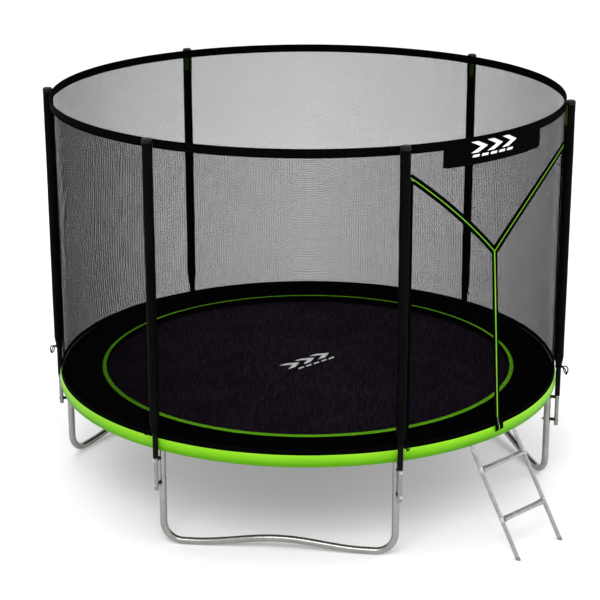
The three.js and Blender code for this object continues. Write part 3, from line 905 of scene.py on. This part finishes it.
def mat_mark():
    """A plain mark in place of any lettering: three arrowheads over a row of dashes."""
    across = Vector((math.cos(MARK_TURN), math.sin(MARK_TURN), 0))
    up = Vector((-across.y, across.x, 0))
    centre = CENTRE + Vector((0.057, 0.023, MAT_TOP + 0.0001))
    shapes = [chevron(-0.198 + 0.130 * k, 0.0, 0.075, 0.085, 0.06) for k in range(3)]
    shapes += [slanted(-0.150 + 0.066 * k, -0.045, 0.046, 0.016, 0.012) for k in range(5)]
    dress(mark("mat_mark", centre, across, up, shapes, 0.0005), "mat", PRINT)


def springs():
    """Coil springs with hooked ends, each held by a V-ring on the mat's edge."""
    loops = []
    for k in range(SPRING_COUNT):
        degrees = 360 * (k + 0.5) / SPRING_COUNT
        out = outward(degrees)
        side = sideways(out)
        base = CENTRE + UP * SPRING_Z

        def at(radius, across=0.0, height=0.0):
            return base + out * radius + side * across + UP * height

        path = [at(SPRING_IN, 0, 0.002), at(SPRING_IN + 0.006, 0, 0.006), at(SPRING_IN + 0.016)]
        turns, per_turn = 15, 8
        first, last = SPRING_IN + 0.028, SPRING_OUT - 0.020
        for n in range(turns * per_turn + 1):
            t = n / (turns * per_turn)
            a = 2 * math.pi * n / per_turn
            taper = 0.0085 * min(1, 0.45 + 3.2 * t, 0.45 + 3.2 * (1 - t))
            path.append(at(first + (last - first) * t, taper * math.cos(a), taper * math.sin(a)))
        path += [at(SPRING_OUT - 0.010), at(SPRING_OUT - 0.002, 0, 0.003), at(SPRING_OUT, 0, -0.003)]
        coil = sweep(f"coil_spring_{k + 1}", path, SPRING_WIRE, 5)
        coil.data.materials.append(ZINC)
        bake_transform(coil)
        if k == 0:
            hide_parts("springs")
        corners = [at(SPRING_IN + 0.003), at(1.330, 0.017), at(1.330, -0.017)]
        line = [a.lerp(b, t / 4) for a, b in zip(corners, corners[1:] + corners[:1])
                for t in range(4)]
        loops.append(sweep("loop", line, 0.0017, 6, closed=True))
    dress(joined("mat_v_rings", loops), "mat", ZINC)


# --- padding

PAD_SECTIONS = 12
PAD_INNER, PAD_SHOULDER = 1.277, 1.288
PAD_OUTER = SKIRT_RADIUS - 0.0105
PAD_PUFF = 0.006
PAD_VOXEL = 0.008
PAD_TURN = 8  # degrees from +X to the first section's middle


def pad_section(name, start, end):
    """One sewn section of the pad: flat below, sloping to the mat inside, soft at its edges."""
    top, bottom = pad_high.z - 0.002, pad_low.z + 0.001
    outline = [
        (PAD_INNER, bottom + 0.004), (PAD_INNER + 0.012, bottom), (PAD_OUTER - 0.012, bottom),
        (PAD_OUTER, bottom + 0.006), (PAD_OUTER, top - 0.006), (PAD_OUTER - 0.008, top),
        (PAD_SHOULDER + 0.03, top), (PAD_SHOULDER, top - 0.004), (PAD_INNER, top - 0.011),
    ]
    return bar(name, [[spoke(r, degrees, z) for r, z in outline] for degrees in between(start, end, 16)])


def puff(section):
    """Fills a section by cloth simulation: its underside and its sewn ends stay put."""
    remesh = section.modifiers.new("remesh", "REMESH")
    remesh.mode = "VOXEL"
    remesh.voxel_size = PAD_VOXEL
    apply_all(section)
    start = np.array([v.co for v in section.data.vertices])
    angles = np.degrees(np.arctan2(start[:, 1] - CENTRE.y, start[:, 0] - CENTRE.x))
    held = (start[:, 2] < pad_low.z + 0.006) | (angles < angles.min() + 0.35)
    held |= angles > angles.max() - 0.35
    held |= np.linalg.norm(start[:, :2] - np.array(CENTRE.xy), axis=1) < PAD_SHOULDER + 0.014
    group = section.vertex_groups.new(name="held")
    group.add([int(k) for k in np.nonzero(held)[0]], 1.0, "REPLACE")
    cloth = section.modifiers.new("cloth", "CLOTH")
    cloth.settings.vertex_group_mass = "held"
    cloth.settings.use_pressure = True
    cloth.settings.uniform_pressure_force = 4
    cloth.settings.effector_weights.gravity = 0
    for step in range(1, 21):
        bpy.context.scene.frame_set(step)
    shape = section.evaluated_get(bpy.context.evaluated_depsgraph_get())
    moved = np.array([v.co for v in shape.data.vertices])
    section.modifiers.clear()
    bpy.context.scene.frame_set(1)
    shift = moved - start
    far = np.maximum(np.linalg.norm(shift, axis=1) / PAD_PUFF, 1)
    for vertex, place in zip(section.data.vertices, start + shift / far[:, None]):
        vertex.co = place
    section.vertex_groups.clear()


def apply_all(made):
    """Bakes an object's modifiers into its mesh."""
    depsgraph = bpy.context.evaluated_depsgraph_get()
    mesh = bpy.data.meshes.new_from_object(made.evaluated_get(depsgraph))
    made.modifiers.clear()
    old = made.data
    made.data = mesh
    bpy.data.meshes.remove(old)


def padding():
    span = 360 / PAD_SECTIONS
    seam = 0.12
    model = pad_section("section", -span / 2 + seam, span / 2 - seam)
    puff(model)
    turn_about = Matrix.Translation(CENTRE)
    sections = []
    for k in range(PAD_SECTIONS):
        copy = bpy.data.objects.new("section", model.data.copy())
        bpy.context.scene.collection.objects.link(copy)
        turn = Matrix.Rotation(math.radians(span * k + PAD_TURN), 4, "Z")
        copy.data.transform(turn_about @ turn @ turn_about.inverted())
        sections.append(copy)
    bpy.data.objects.remove(model)
    cover = joined("pad_cover", sections)
    dress(cover, "frame", PAD, ["safety_pad"])
    for k in range(PAD_SECTIONS):
        degrees = span * (k + 0.5) + PAD_TURN
        out = outward(degrees)
        side = sideways(out) * 0.006
        line = [(PAD_INNER, pad_high.z - 0.016), (PAD_SHOULDER, pad_high.z - 0.011),
                (PAD_SHOULDER + 0.05, pad_high.z - 0.007), (PAD_OUTER - 0.006, pad_high.z - 0.007),
                (PAD_OUTER - 0.001, pad_high.z - 0.013)]
        rows = []
        for radius, z in line:
            at = CENTRE + out * radius + UP * z
            rows.append([at - side, at - side + UP * 0.0012,
                         at + side + UP * 0.0012, at + side])
        dress(bar(f"pad_seam_{k + 1}", rows), "frame", PAD)


def inner_binding():
    """The green strip sewn on the pad's inner edge, and the black lip that hangs from it."""
    z = pad_high.z - 0.0065
    outline = [(1.2745, z), (1.2750, z + 0.0072), (1.281, z + 0.0068), (1.290, z + 0.0048),
               (1.2980, z + 0.0018), (1.2980, z - 0.001), (1.286, z - 0.001)]
    hung = [(1.2722, pad_low.z - 0.0065), (1.2750, pad_low.z - 0.0065), (1.2750, z + 0.0062),
            (1.2736, z + 0.0070), (1.2722, z + 0.0056)]
    dress(ring("pad_inner_lip", hung, 288), "frame", PAD)

    def ripple(degrees, index):
        wave = noise.noise(Vector((math.cos(math.radians(degrees)) * 14,
                                   math.sin(math.radians(degrees)) * 14, index * 0.2)))
        return wave * 0.0005, wave * 0.0003

    strip = ring("pad_binding", outline, 288, ripple)
    dress(strip, "frame", RING_GREEN)


def skirt():
    """The green band: a soft roll over the frame, hemmed below, with a black roll at the pad's seam."""
    low, high = skirt_low.z, skirt_high.z - 0.005
    tall = high - low
    outer = SKIRT_RADIUS
    face = []
    for t in between(0, 1, 14):
        bow = 0.0096 * math.sin(math.pi * t) ** 0.75
        face.append((outer - 0.0062 + bow, low + tall * t))
    back = [(r - 0.0024, z) for r, z in reversed(face)]

    def ripple(degrees, index):
        a = math.radians(degrees)
        place = Vector((math.cos(a) * 9, math.sin(a) * 9, index * 0.16))
        long_wave = noise.noise(Vector((math.cos(a) * 3, math.sin(a) * 3, 4)))
        wave = noise.noise(place)
        return wave * 0.0012 + long_wave * 0.0006, 0

    band = ring("skirt_band", face + back, 360, ripple)
    dress(band, "frame", GREEN, ["pad_skirt"])
    hem = ring("skirt_hem", [(outer - 0.0056, low - 0.0006), (outer - 0.0034, low - 0.0002),
                             (outer - 0.0002, low + 0.007), (outer + 0.0026, low + 0.0165),
                             (outer - 0.0046, low + 0.0165)], 288)
    dress(hem, "frame", GREEN)
    roll = [(outer - 0.0068 + 0.0038 * c, high - 0.0008 + 0.0038 * s) for c, s in circle(10)]
    dress(ring("skirt_seam_roll", roll, 288), "frame", PAD)


# --- net and door

DOOR_LEFT = POLE_ANGLE[6] + 1.8
DOOR_RIGHT = POLE_ANGLE[1] - 1.8
FORK_ANGLE, FORK_Z = -96.3, 1.727
ZIP_FOOT_ANGLE = -93.45
FORK_TOP = {"left": 2.219, "right": 2.145}
FORK_BOW = {"left": 0.018, "right": 0.112}
TAPE_HALF = 0.0215
PIPING_HALF = 0.0040
FORK_PIPING_HALF = 0.0021
FORK_TAPE_HALF = {"left": 0.0215, "right": 0.0290}
SEAM = 0.003


DOOR_OVERLAP, PANEL_GAP = 1.3, 0.05  # degrees past the door's poles, and short of the others


def net_bulge(number):
    """Slack between the top band and the pad, only inwards; the door's edges are held at the poles."""
    def bulge(u, v):
        wave = noise.noise(Vector((u * 3 + number, v * 2.2, number * 0.7)))
        pucker = noise.noise(Vector((u * 26 + number, v * 1.2, number))) * max(0, (v - 0.82) / 0.18)
        hold = min(1, 5 * u if number == 1 else 1, 5 * (1 - u) if number == 5 else 1)
        waist = math.sin(math.pi * v) ** 0.7
        return -hold * (waist * (0.0100 + 0.0025 * wave) + 0.0018 * abs(pucker))
    return bulge


def net_walls():
    top = hoop_low.z + 0.004
    for i in range(1, 6):
        start = POLE_ANGLE[i] + (-DOOR_OVERLAP if i == 1 else PANEL_GAP)
        end = POLE_ANGLE[i + 1]
        end += 360 if end < start else 0
        end += DOOR_OVERLAP if i == 5 else -PANEL_GAP
        columns = standing(between(start, end, 30), net_low.z, top)
        wall = panel(f"net_panel_{i}", columns, NET_RADIUS, NET_THICK, net_bulge(i))
        cloth = FRONT_NET if i == 5 else NET
        dress(wall, "frame", cloth, ["net_wall"] if i == 1 else ())


def fork_height(side, fraction):
    straight = FORK_Z + (FORK_TOP[side] - FORK_Z) * fraction
    return straight + FORK_BOW[side] * 4 * fraction * (1 - fraction)


def fork_point(side, fraction):
    edge = DOOR_LEFT if side == "left" else DOOR_RIGHT
    return FORK_ANGLE + (edge - FORK_ANGLE) * fraction, fork_height(side, fraction)


def net_over_door():
    top = hoop_low.z + 0.004
    left = [fork_point("left", fraction) for fraction in between(1, 0, 24)[:-1]]
    right = [fork_point("right", fraction) for fraction in between(0, 1, 24)]
    edges = [(DOOR_LEFT - 0.45, left[0][1])], [(DOOR_RIGHT + 0.45, right[-1][1])]
    columns = [(a, z + SEAM, a, top) for a, z in edges[0] + left + right + edges[1]]
    sheet = panel("net_over_door", columns, NET_RADIUS, NET_THICK)
    dress(sheet, "frame", FRONT_NET, ["net_header"])


def zip_angle(z):
    """The bearing of the zip at a height; it leans towards the fork."""
    return ZIP_FOOT_ANGLE + (FORK_ANGLE - ZIP_FOOT_ANGLE) * (z - net_low.z) / (FORK_Z - net_low.z)


def door_flaps():
    for side, edge in (("left", DOOR_LEFT), ("right", DOOR_RIGHT)):
        back = -0.06 if side == "left" else 0.06
        columns = []
        for fraction in between(0, 1, 20):
            foot = ZIP_FOOT_ANGLE + back + (edge - ZIP_FOOT_ANGLE - back) * fraction
            head = FORK_ANGLE + back + (edge - FORK_ANGLE - back) * fraction
            columns.append((foot, net_low.z, head, fork_height(side, fraction) - SEAM))
        flap = panel(f"door_net_{side}", columns, NET_RADIUS, NET_THICK)
        body = f"door_{side}"
        dress(flap, body, FRONT_NET, [f"door_flap_{side}"])
        hem = standing([c[0] for c in columns], net_low.z - 0.0005, net_low.z + 0.016)
        dress(panel(f"door_hem_{side}", hem, NET_RADIUS + 0.0002, 0.0034), body, BLACK_TAPE)
        turn = 1 if side == "left" else -1
        corner = columns[-1][3]
        # The frame's binding lies inside the flap's, so that the flap is free to swing out.
        for owner, near, far, radius, head in (
                (body, 0, 0.42, NET_RADIUS + 0.0002, corner - 0.012),
                ("frame", 0.12, -0.55, NET_RADIUS - 0.0042, corner)):
            ends = standing((edge + near * turn, edge + far * turn), net_low.z, head)
            binding = panel(f"{owner}_edge_{side}", ends, radius, 0.0034)
            dress(binding, owner, BLACK_TAPE)


def ribbon(name, centre_line, half, radius, thick, lift=None):
    """A flat tape laid on the net: centre_line is (angle, z) pairs, half its width."""
    rows = []
    last = len(centre_line) - 1
    for k, (angle, z) in enumerate(centre_line):
        before = centre_line[max(k - 1, 0)]
        after = centre_line[min(k + 1, last)]
        run = math.radians(after[0] - before[0]) * radius
        rise = after[1] - before[1]
        size = math.hypot(run, rise)
        side = (-rise / size, run / size)
        low, high = half if isinstance(half, tuple) else (-half, half)
        r = radius + (lift(z) if lift else 0)
        row = []
        for offset, depth in ((low, 0), (high, 0), (high, thick), (low, thick)):
            row.append(spoke(r + depth, angle + math.degrees(side[0] * offset / radius),
                             z + side[1] * offset))
        rows.append(row)
    return bar(name, rows)


TAPE_RADIUS = NET_RADIUS + 0.001


def over_pad(z):
    """The zip's foot stands out to pass over the skirt."""
    reach = SKIRT_RADIUS + 0.0052 - TAPE_RADIUS
    t = min(max((pad_high.z + 0.022 - z) / 0.022, 0), 1)
    return reach * t * t * (3 - 2 * t)


ZIP_END = 0.641
ZIP_FOOT_HALF = 0.034
SPLIT = 0.0003  # from the middle of a tape to the edge of each of its halves


def mirrored(side, low, high):
    """A ribbon's reach across its line: the two flaps are each other's mirror image. Along the
    left fork a positive offset lies below the line, and along the zip towards the left flap."""
    return (low, high) if side == "left" else (-high, -low)


def zip_tapes():
    for side in ("left", "right"):
        # The frame's half runs on to the pole, and the flap's half stops short of it.
        line = [fork_point(side, fraction) for fraction in between(0, 1.02, 22)]
        free = [fork_point(side, fraction) for fraction in between(0, 0.97, 22)]
        out = TAPE_RADIUS + (0.0003 if side == "right" else 0.0)
        half = FORK_TAPE_HALF[side]
        upper = mirrored(side, -half, -SPLIT)
        lower = mirrored(side, SPLIT, half)
        for name, body, path, reach in (("fork_tape", "frame", line, upper),
                                        ("fork_flap_tape", f"door_{side}", free, lower)):
            dress(ribbon(f"{name}_{side}", path, reach, out, 0.0016), body, BLACK_TAPE)
        piping = ribbon(f"fork_piping_{side}", line, FORK_PIPING_HALF, out + 0.0014, 0.0016)
        dress(piping, "frame", GREEN_TAPE)
        line = [(zip_angle(z), z) for z in between(ZIP_END, FORK_Z, 48)]
        ends = [(zip_angle(z), z) for z in (ZIP_END - 0.004, 0.650, 0.663, 0.676, 0.684)]
        layers = (("zip_tape", line, SPLIT, TAPE_HALF, 0, 0.0016, BLACK_TAPE),
                  ("zip_piping", line, SPLIT, PIPING_HALF, 0.0014, 0.0016, GREEN_TAPE),
                  ("zip_foot", ends, 0.0044, ZIP_FOOT_HALF, 0.0026, 0.0014, BLACK_TAPE))
        for name, path, near, far, lift, thick, material in layers:
            reach = mirrored(side, near, far)
            layer = ribbon(f"{name}_{side}", path, reach, TAPE_RADIUS + lift, thick, over_pad)
            dress(layer, f"door_{side}", material)


def zip_pull():
    """The slider with its pull, at the foot of the zip."""
    low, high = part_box("zip_slider")
    at = (low + high) / 2
    out = (at - CENTRE).to_2d().normalized().to_3d()
    up = Vector(JOINTS["zip_slide"]["axis"]).normalized()
    side = up.cross(out).normalized()
    basis = Matrix((side, out, up)).transposed().to_4x4()
    place = Matrix.Translation(at) @ basis
    body = [(-0.0048, -0.011), (0.0048, -0.011), (0.0064, -0.006), (0.0064, 0.011),
            (0.003, 0.0128), (-0.003, 0.0128), (-0.0064, 0.011), (-0.0064, -0.006)]
    parts = [prism("body", body, -0.0035, 0.0012)]
    parts.append(prism("bridge", [(-0.0016, -0.006), (0.0016, -0.006), (0.0016, 0.007),
                                  (-0.0016, 0.007)], 0.0012, 0.0034))
    tab = [(-0.003, -0.030), (0.003, -0.030), (0.0042, -0.026), (0.0034, 0.001), (-0.0034, 0.001),
           (-0.0042, -0.026)]
    parts.append(prism("tab", tab, 0.0022, 0.0040))
    made = joined("zip_puller", parts)
    made.data.transform(place)
    dress(made, "slider", DARK_ZINC, ["zip_slider"])


def prism(name, outline, near, far):
    """An outline of (x, z) pairs, thick along y."""
    count = len(outline)
    points = [(x, y, z) for y in (near, far) for x, z in outline]
    faces = [tuple(range(count)), tuple(range(count, 2 * count))]
    faces += [(k, (k + 1) % count, (k + 1) % count + count, k + count) for k in range(count)]
    made = mesh_object(name, points, faces)
    bevel = made.modifiers.new("bevel", "BEVEL")
    bevel.width = 0.0005
    bevel.segments = 2
    apply_all(made)
    return made


def hoop():
    """The net's top band, with the hoop rod showing as a roll along its upper edge."""
    low, high = hoop_low.z, hoop_high.z
    mid = HOOP_RADIUS
    rod = 0.0052
    turn = [math.radians(a) for a in between(-30, 210, 8)]
    outline = [(mid + rod * math.cos(a), high - rod + rod * math.sin(a)) for a in turn]
    foot = low - 0.010
    outline += [(mid - 0.0022, high - 0.014), (mid - 0.0026, low), (mid - 0.0026, foot),
                (mid + 0.0026, foot), (mid + 0.0026, low), (mid + 0.0022, high - 0.014)]
    band = ring("net_top_band", outline, 288)
    dress(band, "frame", BLACK_TAPE, ["net_hoop"])
    for number, z in enumerate((high - 0.0125, foot + 0.004), 1):
        line = ring(f"band_stitch_{number}", [(mid + 0.0024, z - 0.0006), (mid + 0.0034, z),
                                              (mid + 0.0024, z + 0.0006)], 288)
        dress(line, "frame", CORD)
    foot, head = pad_high.z - 0.007, net_low.z + 0.018
    bottom = flat_ring("net_foot_band", NET_RADIUS - 0.0016, NET_RADIUS + 0.0016, foot, head, 288)
    trim_door(bottom)
    dress(bottom, "frame", BLACK_TAPE)
    for i in POLES:
        half = math.degrees(0.0045 / NET_RADIUS)
        ends = standing((POLE_ANGLE[i] - half, POLE_ANGLE[i] + half), net_low.z, hoop_low.z)
        dress(panel(f"net_pole_seam_{i}", ends, NET_RADIUS + 0.0022, 0.0074), "frame", BLACK_TAPE)


def trim_door(made):
    """Cuts the doorway out of a whole ring."""
    work = bmesh.new()
    work.from_mesh(made.data)
    doomed = [f for f in work.faces
              if DOOR_LEFT - 0.6 < bearing(f.calc_center_median()) < DOOR_RIGHT + 0.6]
    bmesh.ops.delete(work, geom=doomed, context="FACES")
    bmesh.ops.holes_fill(work, edges=[e for e in work.edges if e.is_boundary], sides=0)
    work.to_mesh(made.data)
    work.free()
    square_up(made)


BANNER_SPAN = (-110.5, -81.3)
BANNER_RADIUS = 1.5561


def banner():
    low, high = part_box("banner")
    start, end = BANNER_SPAN
    radius = BANNER_RADIUS
    columns = []
    for t in between(0, 1, 24):
        angle = start + (end - start) * t
        corner = 0.006 * (max(0, 1 - t * 30) + max(0, 1 - (1 - t) * 30))
        columns.append((angle, low.z + corner, angle, high.z))

    def bulge(u, v):
        return 0.0016 * math.sin(math.pi * v) * noise.noise(Vector((u * 5, v, 3)))

    board = panel("banner_cloth", columns, radius, 0.0018, bulge)
    dress(board, "frame", BLACK_TAPE, ["banner"])
    line = [(angle, low.z + 0.008) for angle in between(start + 0.25, end - 0.25, 20)]
    dress(ribbon("banner_hem", line, 0.003, radius + 0.0009, 0.0007), "frame", CORD)
    shapes = [chevron(-0.199 + 0.118 * k, -0.010, 0.070, 0.062, 0.05) for k in range(3)]
    shapes += [slanted(-0.188 + 0.066 * k, -0.034, 0.046, 0.013, 0.006) for k in range(5)]
    centre_angle = start + (end - start) * 0.48
    out = outward(centre_angle)
    across = sideways(out)
    centre = spoke(radius + 0.0009, centre_angle, (low.z + high.z) / 2)
    made = mark("banner_mark", centre, across, UP, shapes, 0.0014)
    # The flat mark is wrapped on the banner's curve, keeping its thickness.
    for vertex in made.data.vertices:
        away = vertex.co - centre
        turn = math.degrees(away.dot(across) / radius)
        vertex.co = spoke(radius + 0.0009 + away.dot(out), centre_angle + turn, vertex.co.z)
    dress(made, "frame", PRINT)


# --- ladder

HOOK_AT = Vector(JOINTS["ladder_swing"]["pos_m"])
ACROSS = -Vector(JOINTS["ladder_swing"]["axis"]).normalized()
OUTWARD = Vector((ACROSS.y, -ACROSS.x, 0))
LADDER_HALF = 0.19
LADDER_TUBE = 0.0125
LADDER_FOOT = 1.91
HOOK_DISTANCE = math.sqrt(FRAME_RADIUS ** 2 - LADDER_HALF ** 2)
LEAN = math.atan2(LADDER_FOOT - HOOK_DISTANCE, HOOK_AT.z)
RUNGS = {"lower": 0.205, "upper": 0.462}


def on_ladder(x, out, z):
    """A point beside the hook's middle: x across, out from the trampoline, z up."""
    return HOOK_AT + ACROSS * x + OUTWARD * out + UP * z


def down_rail(x, distance):
    return on_ladder(x, math.sin(LEAN) * distance, -math.cos(LEAN) * distance)


def ladder():
    length = HOOK_AT.z / math.cos(LEAN)
    for side, x in (("left", -LADDER_HALF), ("right", LADDER_HALF)):
        stops = [0.052, 0.058, 0.068, 0.082, 0.1, length - 0.012]
        widths = [0.0045, 0.0075, 0.0108, LADDER_TUBE, LADDER_TUBE, LADDER_TUBE]
        tube = flattened_tube(x, stops, widths)
        hook = hook_strap(x)
        dress(joined(f"ladder_side_{side}", [tube, hook]), "ladder", LADDER, [f"ladder_rail_{side}"])
        shoe = sweep(f"ladder_shoe_{side}", [down_rail(x, length - 0.014), down_rail(x, length - 0.0125),
                                             down_rail(x, length + 0.01)], [0.0125, 0.0134, 0.0134], 20)
        cut_flat(shoe)
        dress(shoe, "ladder", PLUG)
    for name, z in RUNGS.items():
        rung(name, (HOOK_AT.z - z) / math.cos(LEAN))


def flattened_tube(x, stops, widths):
    """The side tube: round, and pressed flat where it turns into the strap."""
    rows = []
    normal = OUTWARD * math.cos(LEAN) + Vector((0, 0, math.sin(LEAN)))
    for distance, thick in zip(stops, widths):
        centre = down_rail(x, distance)
        wide = LADDER_TUBE * (1 + 0.25 * (1 - thick / LADDER_TUBE))
        rows.append([centre + ACROSS * (wide * c) + normal * (thick * s) for c, s in circle(20)])
    return bar("tube", rows)


def hook_strap(x):
    """The strap over the frame rail."""
    inner, outer, half = 0.0224, 0.0262, 0.011
    rows = []
    for a in between(215, -62, 24):
        c, s = math.cos(math.radians(a)), math.sin(math.radians(a))
        rows.append([on_ladder(x + w, c * r, s * r)
                     for w, r in ((-half, inner), (half, inner), (half, outer), (-half, outer))])
    for distance in (0.05, 0.075):
        centre = down_rail(x, distance)
        normal = OUTWARD * math.cos(LEAN) + Vector((0, 0, math.sin(LEAN)))
        rows.append([centre + ACROSS * w + normal * t
                     for w, t in ((-half, -0.0019), (half, -0.0019), (half, 0.0019), (-half, 0.0019))])
    return bar("hook", rows)


def cut_flat(made):
    """Trims a shoe level with the ground."""
    work = bmesh.new()
    work.from_mesh(made.data)
    cut = bmesh.ops.bisect_plane(work, geom=[*work.verts, *work.edges, *work.faces],
                                 plane_co=(0, 0, 0.0004), plane_no=(0, 0, -1), clear_outer=True)
    edges = [e for e in cut["geom_cut"] if isinstance(e, bmesh.types.BMEdge)]
    bmesh.ops.holes_fill(work, edges=edges, sides=0)
    work.to_mesh(made.data)
    work.free()
    square_up(made)


def rung(name, distance):
    """A pressed tread, waisted in plan, with flared ends bolted through the side tubes."""
    centre = down_rail(0, distance)
    end = LADDER_HALF - LADDER_TUBE + 0.004
    rows = []
    for x in between(-end, end, 36):
        near_end = max(0.0, (abs(x) - (end - 0.085)) / 0.085)
        half = 0.0195 + 0.0045 * near_end ** 2
        thick = 0.0098 + 0.0032 * near_end ** 2
        row = []
        for c, s in circle(20):
            y = half * math.copysign(abs(c) ** 0.7, c)
            z = thick * math.copysign(abs(s) ** 0.7, s)
            row.append(centre + ACROSS * x + OUTWARD * y + UP * z)
        rows.append(row)
    tread = bar("tread", rows)
    ribs = []
    for offset in (-0.006, 0.0, 0.006):
        line = [centre + ACROSS * x + OUTWARD * offset + UP * 0.0098
                for x in between(-0.1, 0.1, 8)]
        ribs.append(sweep("rib", line, 0.0011, 6))
    dress(joined(f"ladder_tread_{name}", [tread, *ribs]), "ladder", LADDER, [f"ladder_rung_{name}"])
    heads = []
    for sign in (-1, 1):
        along = [down_rail(sign * LADDER_HALF, distance + d) for d in (-0.017, -0.0155, 0.0155, 0.017)]
        collar = sweep("collar", along, [0.0127, 0.0142, 0.0142, 0.0127], 20)
        heads.append(collar)
        place = facing(centre + ACROSS * sign * (LADDER_HALF + LADDER_TUBE - 0.001), ACROSS * sign)
        heads.append(turned("head", [(0, -0.003), (0.0078, -0.003), (0.0078, 0.0012), (0.006, 0.0036),
                                     (0.0025, 0.0048), (0, 0.005)], 18, place))
    dress(joined(f"ladder_bolts_{name}", heads), "ladder", ZINC)


# --- stage


def stage():
    size = 60
    floor = mesh_object("floor", [(-size, -size, 0), (size, -size, 0), (size, size, 0),
                                  (-size, size, 0)], [(0, 1, 2, 3)])
    floor.data.materials.append(floor_paint())
    world = bpy.data.worlds.new("sky")
    world.use_nodes = True
    sky = world.node_tree.nodes["Background"].inputs
    sky["Color"].default_value = (1, 1, 1, 1)
    sky["Strength"].default_value = 0.95
    bpy.context.scene.world = world
    lamps = (
        ("key", Vector((-8.0, -5.2, 9.5)), 5.5, 560),
        ("fill", Vector((5.5, -8.0, 7.0)), 6.0, 230),
        ("back", Vector((2.0, 8.0, 8.0)), 5.0, 160),
    )
    for name, place, size, power in lamps:
        data = bpy.data.lights.new(name, "AREA")
        data.size = size
        data.energy = power
        lamp = bpy.data.objects.new(name, data)
        lamp.location = CENTRE + place
        aim = UP * 0.9 - place
        lamp.rotation_euler = aim.to_track_quat("-Z", "Y").to_euler()
        bpy.context.scene.collection.objects.link(lamp)
    bpy.context.scene.view_settings.view_transform = "Standard"


rails()
legs()
bolts()
poles()
ties()
jump_mat()
mat_mark()
springs()
padding()
inner_binding()
skirt()
net_walls()
net_over_door()
door_flaps()
zip_tapes()
zip_pull()
hoop()
banner()
ladder()
stage()
